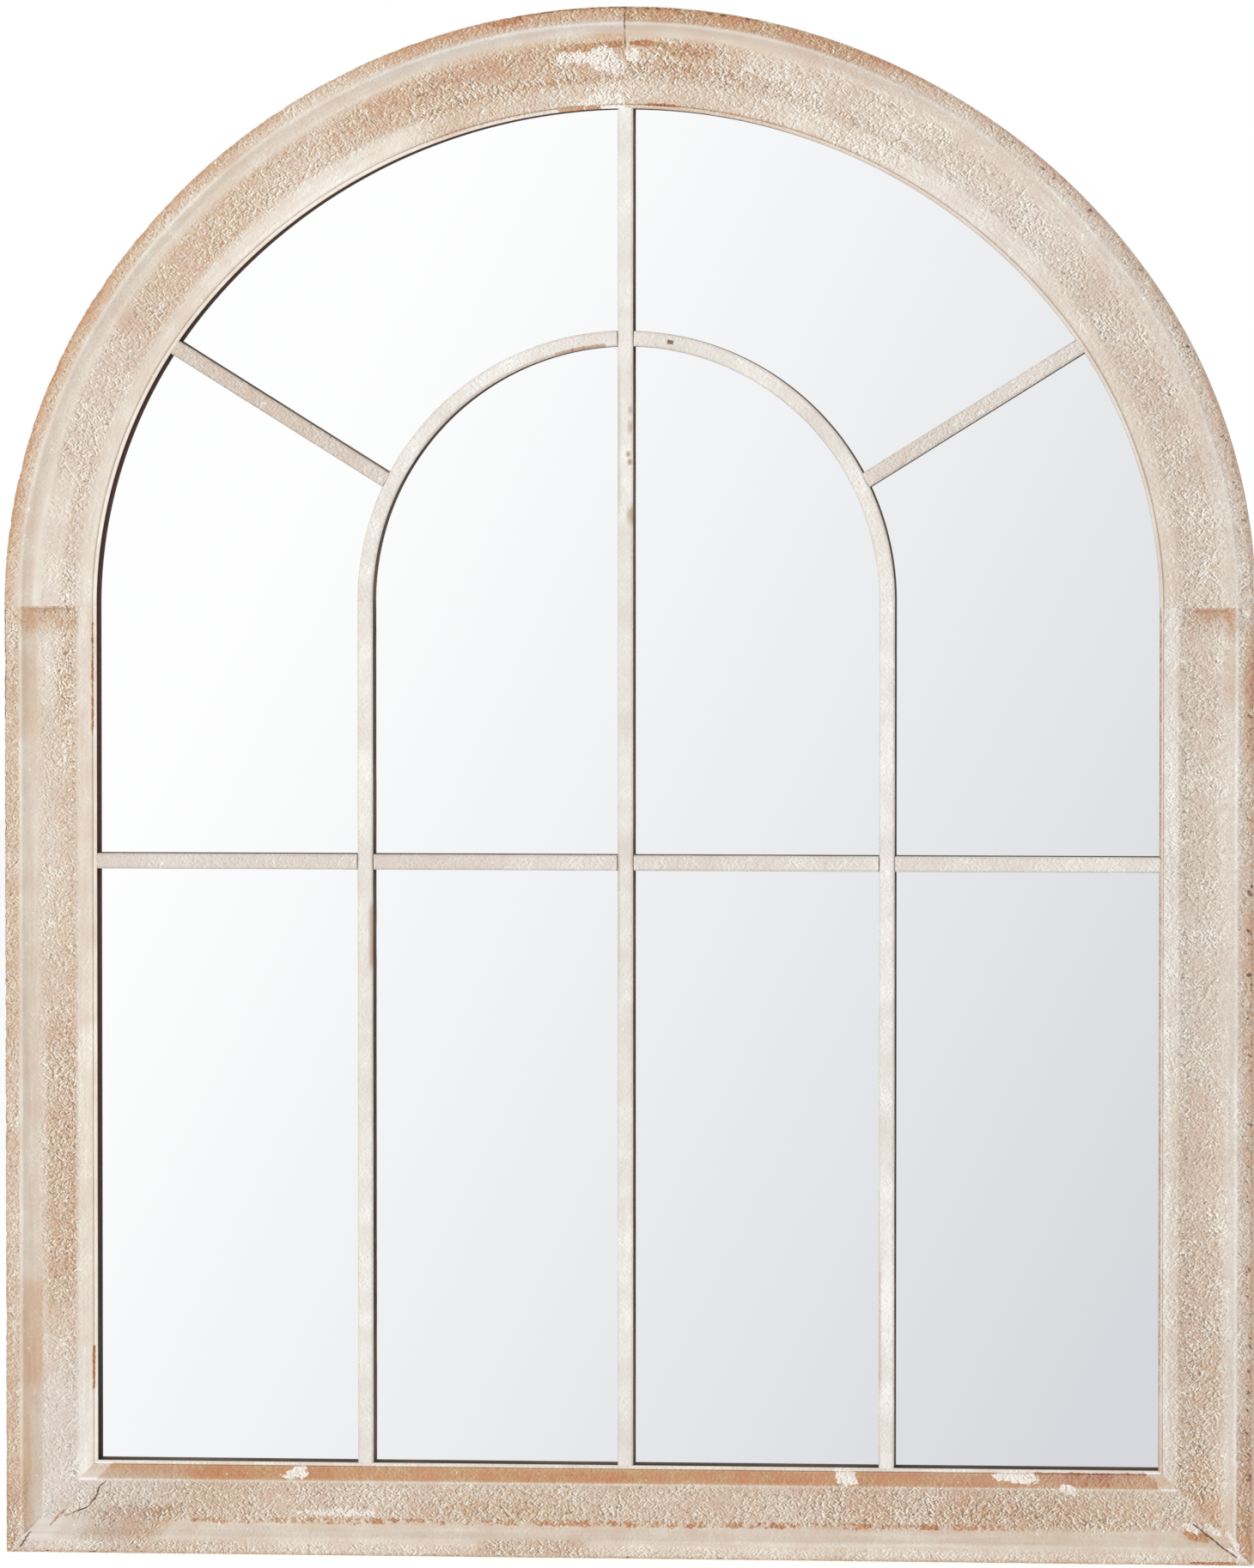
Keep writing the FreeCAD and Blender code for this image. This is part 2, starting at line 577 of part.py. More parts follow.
def hanger_screw(drop):
    """A round-headed screw through the right-hand strap."""
    seat = Vec(hanger_x(), BACK_Y + STRAP_STEEL, HANGER_Z - drop)
    head = Part.makeCylinder(SCREW_HEAD_RADIUS, SCREW_HEAD_HEIGHT, seat, Vec(0, 1, 0))
    head = head.makeFillet(SCREW_HEAD_ROUND, rim(head, seat.y + SCREW_HEAD_HEIGHT))
    point = SCREW_RADIUS
    shank = Part.makeCylinder(SCREW_RADIUS, SCREW_LENGTH - point, seat, Vec(0, -1, 0))
    tip = Part.makeCone(SCREW_RADIUS, 0, point, seat - Vec(0, SCREW_LENGTH - point, 0), Vec(0, -1, 0))
    return head.multiFuse([shank, tip]).removeSplitter()


def screw_pilots():
    """Holes for the screws in the right half of the head."""
    length = SCREW_LENGTH - STRAP_STEEL + SCREW_GAP
    return [Part.makeCylinder(SCREW_RADIUS + SCREW_GAP, length, Vec(hanger_x(), BACK_Y, HANGER_Z - drop),
                              Vec(0, -1, 0)) for drop in STRAP_HOLE_DROPS]


def bumper():
    """A rubber disc on the back of the bottom rail, right-hand side."""
    centre = Vec(HALF - BUMPER_INSET_X, BACK_Y, BUMPER_Z)
    disc = Part.makeCylinder(BUMPER_RADIUS, BUMPER_THICKNESS, centre, Vec(0, 1, 0))
    return disc.makeFillet(BUMPER_ROUND, rim(disc, BACK_Y + BUMPER_THICKNESS))


# ---------------------------------------------------------------- frame members
def frame_members():
    """Head, jambs and bottom rail, each cut for the glass, the bars and its fastenings."""
    opening = arched_plate(0, -PAST, DEPTH + PAST)
    rebate = arched_plate(REBATE_WIDTH, -PAST, GLASS_FRONT_LEVEL)
    housings = bar_housings()
    shared = [opening, rebate] + housings
    above_mitre = mitre_prism(True)
    nails = [v_nail_slot(inset) for inset in V_NAIL_INSETS]
    pegs = spring_pegs(DOWEL_GAP, DOWEL_END_GAP)
    head = head_blank().cut(shared + head_bead_cutters() + pegs + head_tabs()
                            + apex_pegs(DOWEL_GAP, DOWEL_END_GAP) + screw_pilots())
    jamb = jamb_blank().cut(shared + jamb_bead_cutters() + pegs + jamb_tabs() + nails
                            + [mitre_prism(False)])
    rail = rail_blank().cut(shared + rail_bead_cutters() + rail_tabs() + nails
                            + [mirrored(nail) for nail in nails]
                            + [above_mitre, mirrored(above_mitre)])
    return {"arch_right": head, "arch_left": mirrored(head), "jamb_right": jamb,
            "jamb_left": mirrored(jamb), "bottom_rail": rail}


def both_sides(shapes):
    """Right-hand pieces and their left-hand copies, as one group."""
    return Part.makeCompound(shapes + [mirrored(shape) for shape in shapes])


def glass_and_back():
    block_top = SIGHT_Z - REBATE_WIDTH + GLASS_GAP
    spot = BLOCK_SPACING / 2
    setting = block(spot - BLOCK_LENGTH / 2, spot + BLOCK_LENGTH / 2, GLASS_BACK_LEVEL, GLASS_FRONT_LEVEL,
                    SIGHT_Z - REBATE_WIDTH, block_top)
    glass_offset = REBATE_WIDTH - GLASS_GAP
    return {
        "mirror_plate": arched_plate(glass_offset, GLASS_BACK_LEVEL, GLASS_FRONT_LEVEL),
        "setting_blocks": both_sides([setting]),
        "cushion_sheet": arched_plate(glass_offset, BOARD_FRONT_LEVEL, GLASS_BACK_LEVEL),
        "backboard": arched_plate(REBATE_WIDTH - BOARD_GAP, BOARD_BACK_LEVEL, BOARD_FRONT_LEVEL),
    }


def fastenings():
    return {
        "spring_dowels": both_sides(spring_pegs(0, 0)),
        "apex_dowels": Part.makeCompound(apex_pegs(0, 0)),
        "hoop_dowels": both_sides([hoop_peg(0, 0)]),
        "mitre_v_nails": both_sides([v_nail(inset) for inset in V_NAIL_INSETS]),
        "framer_tabs": Part.makeCompound(rail_tabs() + list(both_sides(jamb_tabs() + head_tabs()).Solids)),
        "hanger_screws": both_sides([hanger_screw(drop) for drop in STRAP_HOLE_DROPS]),
    }


def hangers():
    pieces = {"hanger_strap": strap(), "d_ring": d_ring(), "wall_bumper": bumper()}
    named = {}
    for name, shape in pieces.items():
        named[name + "_right"] = shape
        named[name + "_left"] = mirrored(shape)
    return named


def build():
    nodes = {}
    for group in (frame_members, lattice, glass_and_back, fastenings, hangers):
        nodes.update(group())
    return nodes


os.makedirs("parts", exist_ok=True)
for node, shape in build().items():
    shape.exportStep("parts/" + node + ".step")
    print(node, len(shape.Solids), "valid" if shape.isValid() else "NOT VALID", round(shape.Volume))
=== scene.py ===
"""Arched window mirror: the looks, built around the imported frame.

Metres in Blender, millimetres in the sizes below.  +Z is up and the front looks towards -Y.
A moulding's surface is drawn straight first, as run (along it), inset (inwards from the
outline) and level (forwards from the back face), then worn, then bent into place.
"""
import json
import math

import bmesh
import bpy
from mathutils import Matrix, Vector, noise

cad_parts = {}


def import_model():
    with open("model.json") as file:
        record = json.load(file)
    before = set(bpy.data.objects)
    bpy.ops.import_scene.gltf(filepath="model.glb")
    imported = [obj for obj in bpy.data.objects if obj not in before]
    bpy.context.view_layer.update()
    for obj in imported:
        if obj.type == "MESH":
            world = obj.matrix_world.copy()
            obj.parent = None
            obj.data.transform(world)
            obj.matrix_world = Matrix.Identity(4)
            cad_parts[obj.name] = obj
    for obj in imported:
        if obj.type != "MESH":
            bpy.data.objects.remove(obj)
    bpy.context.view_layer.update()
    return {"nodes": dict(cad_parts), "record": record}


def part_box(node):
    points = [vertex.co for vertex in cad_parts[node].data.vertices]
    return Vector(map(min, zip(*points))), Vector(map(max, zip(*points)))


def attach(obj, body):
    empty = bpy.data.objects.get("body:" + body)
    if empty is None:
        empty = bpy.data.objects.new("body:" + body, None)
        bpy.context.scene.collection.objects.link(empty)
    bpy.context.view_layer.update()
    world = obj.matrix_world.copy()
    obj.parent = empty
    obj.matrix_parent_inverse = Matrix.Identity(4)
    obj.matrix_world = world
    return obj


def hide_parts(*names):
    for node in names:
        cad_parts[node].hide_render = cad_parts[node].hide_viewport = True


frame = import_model()

MM = 0.001

# -------- sizes read from the frame
BACK_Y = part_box("jamb_right")[1].y / MM
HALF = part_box("jamb_right")[1].x / MM
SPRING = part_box("jamb_right")[1].z / MM
GLASS_LEVEL = BACK_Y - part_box("mirror_plate")[0].y / MM
SIDE_BAR_X = sum(corner.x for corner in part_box("side_bar_right")) / 2 / MM
TRANSOM_Z = sum(corner.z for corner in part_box("transom_bar")) / 2 / MM
HOOP_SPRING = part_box("side_bar_right")[1].z / MM
BAR_WIDTH = (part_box("centre_bar")[1].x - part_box("centre_bar")[0].x) / MM

# -------- moulding sizes
HAUNCH_CENTRE = 38.0
CROWN_DROP = 26.1
SIGHT_HAUNCH_CENTRE = 44.0
SIGHT_CROWN_DROP = 35.6
FACE = 60.0
OUTER_LEVEL = 27.5
OUTER_ARRIS = 2.5
OUTER_BAND = 9.0
BAND_LEVEL = 29.0
RIDGE_WIDTH = 3.5
RIDGE_LEVEL = 30.0
HOLLOW_START = OUTER_BAND + RIDGE_WIDTH
HOLLOW_BANK = 8.0
BANK_SAG = 1.2
HOLLOW_DISH = 0.9
HOLLOW_END = HOLLOW_START + 35.0
FLAT_LEVEL = 27.0
HEAD_HOLLOW_LEVEL = 24.0
JAMB_HOLLOW_LEVEL = 21.5
BEAD_WIDTH = 2.2
QUIRK_WIDTH = 0.9
QUIRK_DEPTH = 0.8
BEAD_ROUND = 1.0
REBATE_WIDTH = 9.0
BAR_CHAMFER = 1.2
SPOKE_ANGLE = math.radians(32.0)
SPOKE_FOCUS = HOOP_SPRING - 19.0
FRONT_CLEAR = 5.0  # a moulding's front lies at least this far over the glass
STEP = 1.0  # length of one mesh step along a moulding
SHARP_ANGLE = math.radians(50)
JOINT_WEAR = 1.1  # half width of the worn groove where two members meet
LIP = 1.2  # the deeper hollow starts this far below the spring joint
LIP_ROUND = 5.0


def span(low, high, value):
    """0 below low, 1 above high, smooth between."""
    t = min(1.0, max(0.0, (value - low) / (high - low)))
    return t * t * (3 - 2 * t)


def table(value, stops):
    """A height read off a line through (place, height) stops."""
    for (x0, y0), (x1, y1) in zip(stops, stops[1:]):
        if value <= x1:
            return y0 + (y1 - y0) * max(0.0, value - x0) / (x1 - x0)
    return stops[-1][1]


# -------- arched outlines
class Arch:
    """Three-centred arch on the springing line, in the XZ plane."""

    def __init__(self, half, haunch_centre, crown_drop):
        self.haunch_centre = haunch_centre
        self.drop = crown_drop
        self.haunch_radius = half - haunch_centre
        self.crown_radius = self.haunch_radius + math.hypot(haunch_centre, crown_drop)
        self.join = math.atan2(crown_drop, haunch_centre)
        self.haunch_run = self.haunch_radius * self.join
        self.length = self.haunch_run + self.crown_radius * (math.pi / 2 - self.join)

    def place(self, run):
        """Point of the right-hand outline at a run from the springing line, and its outward way."""
        if run <= self.haunch_run:
            angle, centre = run / self.haunch_radius, Vector((self.haunch_centre, 0))
            radius = self.haunch_radius
        else:
            angle = self.join + (run - self.haunch_run) / self.crown_radius
            centre, radius = Vector((0, -self.drop)), self.crown_radius
        way = Vector((math.cos(angle), math.sin(angle)))
        return centre + way * radius, way

    def depth_from(self, point, way):
        """How far inwards from a point, against its outward way, this arch is met."""
        for centre, radius, low in ((Vector((self.haunch_centre, 0)), self.haunch_radius, -1.0),
                                    (Vector((0, -self.drop)), self.crown_radius, self.join)):
            q = point - centre
            along = q.dot(way)
            depth = along - math.sqrt(radius ** 2 - q.length_squared + along ** 2)
            hit = point - way * depth - centre
            if low > 0 or math.atan2(hit.y, hit.x) <= self.join:
                return depth
        return depth


OUTLINE = Arch(HALF, HAUNCH_CENTRE, CROWN_DROP)
SIGHT = Arch(HALF - FACE, SIGHT_HAUNCH_CENTRE, SIGHT_CROWN_DROP)


# -------- sections
def line(p, q, count):
    """Points from p up to but not including q."""
    return [tuple(a + (b - a) * i / count for a, b in zip(p, q)) for i in range(count)]


def bow(p, middle, q, count):
    """Points on the arc through p, middle and q, without q."""
    (ax, ay), (bx, by), (cx, cy) = p, middle, q
    d = 2 * (ax * (by - cy) + bx * (cy - ay) + cx * (ay - by))
    sa, sb, sc = ax * ax + ay * ay, bx * bx + by * by, cx * cx + cy * cy
    ux = (sa * (by - cy) + sb * (cy - ay) + sc * (ay - by)) / d
    uy = (sa * (cx - bx) + sb * (ax - cx) + sc * (bx - ax)) / d
    radius = math.hypot(ax - ux, ay - uy)
    start = math.atan2(ay - uy, ax - ux)
    to_middle = math.remainder(math.atan2(by - uy, bx - ux) - start, math.tau)
    to_end = math.remainder(math.atan2(cy - uy, cx - ux) - math.atan2(by - uy, bx - ux), math.tau)
    turn = to_middle + to_end
    return [(ux + radius * math.cos(start + turn * i / count),
             uy + radius * math.sin(start + turn * i / count)) for i in range(count)]


def traced(start, *legs):
    """A closed path.  A leg is (end, count), straight, or (middle, end, count), bowed."""
    points = []
    for *middle, end, count in legs:
        points += bow(start, *middle, end, count) if middle else line(start, end, count)
        start = end
    return points


def moulding_section(hollow_level):
    """The closed section, from the foot of the outer wall over the front and round the back."""
    foot = hollow_level + HOLLOW_DISH
    floor_start = HOLLOW_START + HOLLOW_BANK
    arris = OUTER_ARRIS * (1 - math.sqrt(0.5))
    bead_start = FACE - BEAD_WIDTH
    quirk_start = bead_start - QUIRK_WIDTH
    round_mid = BEAD_ROUND * (1 - math.sqrt(0.5))
    rebate = FACE - REBATE_WIDTH
    return traced(
        (0, 0),
        ((0, OUTER_LEVEL - OUTER_ARRIS), 8),
        ((arris, OUTER_LEVEL - arris), (OUTER_ARRIS, OUTER_LEVEL), 4),
        ((OUTER_BAND, BAND_LEVEL), 7),
        ((OUTER_BAND + RIDGE_WIDTH / 2, RIDGE_LEVEL), (HOLLOW_START, BAND_LEVEL), 6),
        ((HOLLOW_START + HOLLOW_BANK / 2, (BAND_LEVEL + foot) / 2 - BANK_SAG), (floor_start, foot), 9),
        (((floor_start + HOLLOW_END) / 2, hollow_level), (HOLLOW_END, FLAT_LEVEL), 28),
        ((quirk_start, FLAT_LEVEL), 9),
        ((quirk_start + QUIRK_WIDTH / 2, FLAT_LEVEL - QUIRK_DEPTH), 1),
        ((bead_start, FLAT_LEVEL), 1),
        ((FACE - BEAD_ROUND, FLAT_LEVEL), 2),
        ((FACE - round_mid, FLAT_LEVEL - round_mid), (FACE, FLAT_LEVEL - BEAD_ROUND), 3),
        ((FACE, GLASS_LEVEL), 6),
        ((rebate, GLASS_LEVEL), 3),
        ((rebate, 0), 4),
        ((0, 0), 10))


HEAD_FRONT = [p for p in moulding_section(HEAD_HOLLOW_LEVEL)
              if p[1] > GLASS_LEVEL + FRONT_CLEAR and OUTER_BAND < p[0] < FACE - 1]


def bar_section():
    """A glazing bar's closed section: across from its middle, and level."""
    side = BAR_WIDTH / 2
    shoulder = FLAT_LEVEL - BAR_CHAMFER
    return traced(
        (-side, GLASS_LEVEL),
        ((-side, shoulder), 6),
        ((BAR_CHAMFER - side, FLAT_LEVEL), 2),
        ((side - BAR_CHAMFER, FLAT_LEVEL), 9),
        ((side, shoulder), 2),
        ((side, GLASS_LEVEL), 6),
        ((-side, GLASS_LEVEL), 4))


# -------- finish, listed
# A tone of 0 is bare orange-brown timber and 1 is thick lime.  Rough is how strongly the
# brush strokes show.  Both are given by inset.
# The head's and sides' tables also hold painted light: a lighter line on the ridge as a painted highlight,
# and a dip at the quirk as a painted shadow line in that groove.
TONES = {
    "arch_left": [(0, .50), (2.5, .64), (8, .74), (10.5, .84), (12.5, .80), (15, .76), (20, .78), (24, .73),
                  (45, .75), (48, .84), (56, .88), (57.2, .78), (58.2, .93), (60, .90)],
    "arch_right": [(0, .42), (2.5, .60), (8, .71), (10.5, .80), (12.5, .78), (15, .73), (20, .77), (24, .76),
                   (45, .78), (48, .84), (56, .86), (57.2, .74), (58.2, .86), (60, .72)],
    "jamb_left": [(0, .50), (2, .68), (9, .73), (11, .86), (12.5, .80), (16, .78), (20, .78), (24, .78),
                  (30, .77), (44, .75), (47, .80), (48.5, .86), (56, .86), (57.2, .78), (58.2, .94),
                  (60, .90)],
    "jamb_right": [(0, .48), (3, .70), (9, .76), (11, .90), (13, .81), (20, .81), (24, .78), (40, .75),
                   (47, .77), (48.5, .84), (56, .85), (58, .82), (59, .60), (60, .45)],
    "bottom_rail": [(0, .70), (2.5, .81), (6, .83), (9, .82), (12, .79), (20, .77), (22, .74), (30, .72),
                    (46, .75), (47.5, .84), (48.6, .46), (50, .37), (56.5, .37), (57.3, .58), (58, .88),
                    (60, .88)],
}
ROUGHS = {
    "arch_left": [(0, .6), (8, .55), (10, .15), (12, .10), (20, .15), (24, .75), (44, .85), (47, .5),
                  (50, .12), (56, .12), (58, .05)],
    "arch_right": [(0, .8), (8, .7), (10, .3), (12, .2), (20, .3), (23, .7), (44, .75), (47, .4), (50, .25),
                   (56, .25), (58, .1)],
    "jamb_left": [(0, .7), (9, .65), (10.5, .1), (12, .08), (21, .12), (24, .5), (34, .6), (44, .85),
                  (47, .4), (49, .12), (56, .12), (58, .05)],
    "jamb_right": [(0, .8), (9, .7), (10.5, .15), (12, .25), (20, .4), (24, .7), (44, .8), (47, .55),
                   (49, .4), (56, .45), (58, .2)],
    "bottom_rail": [(0, .6), (7, .45), (9, .12), (20, .12), (23, .85), (45, .8), (47.5, .3), (50, .35),
                    (57, .35), (58, .15)],
}


class Patch:
    """A soft-edged patch of finish on a member: (from, to) in run and in inset."""

    def __init__(self, run, inset, soft, **change):
        self.run, self.inset, self.soft, self.change = run, inset, soft, change

    def weight(self, run, inset):
        (r0, r1), (i0, i1), (soft_run, soft_inset) = self.run, self.inset, self.soft
        if not (r0 - soft_run < run < r1 + soft_run and i0 - soft_inset < inset < i1 + soft_inset):
            return 0.0
        return (span(r0 - soft_run, r0, run) * span(r1 + soft_run, r1, run)
                * span(i0 - soft_inset, i0, inset) * span(i1 + soft_inset, i1, inset))


class Spot:
    """A mark that fades from its middle, a (run, inset), to an ellipse of the given half sizes."""

    def __init__(self, middle, half, **change):
        self.middle, self.half, self.change = middle, half, change

    def weight(self, run, inset):
        along = (run - self.middle[0]) / self.half[0]
        across = (inset - self.middle[1]) / self.half[1]
        if abs(along) > 1 or abs(across) > 1:
            return 0.0
        return span(1.0, 0.2, math.hypot(along, across))


class Crack:
    """A narrow mark along a line of (run, inset) points."""

    def __init__(self, points, width, **change):
        self.points, self.width, self.change = [Vector(p) for p in points], width, change
        runs, insets = zip(*points)
        self.box = (min(runs) - width, max(runs) + width, min(insets) - width, max(insets) + width)

    def weight(self, run, inset):
        r0, r1, i0, i1 = self.box
        if not (r0 < run < r1 and i0 < inset < i1):
            return 0.0
        spot, nearest = Vector((run, inset)), self.width
        for p, q in zip(self.points, self.points[1:]):
            along = min(1.0, max(0.0, (spot - p).dot(q - p) / (q - p).length_squared))
            nearest = min(nearest, (spot - p.lerp(q, along)).length)
        return span(self.width, self.width * 0.35, nearest)


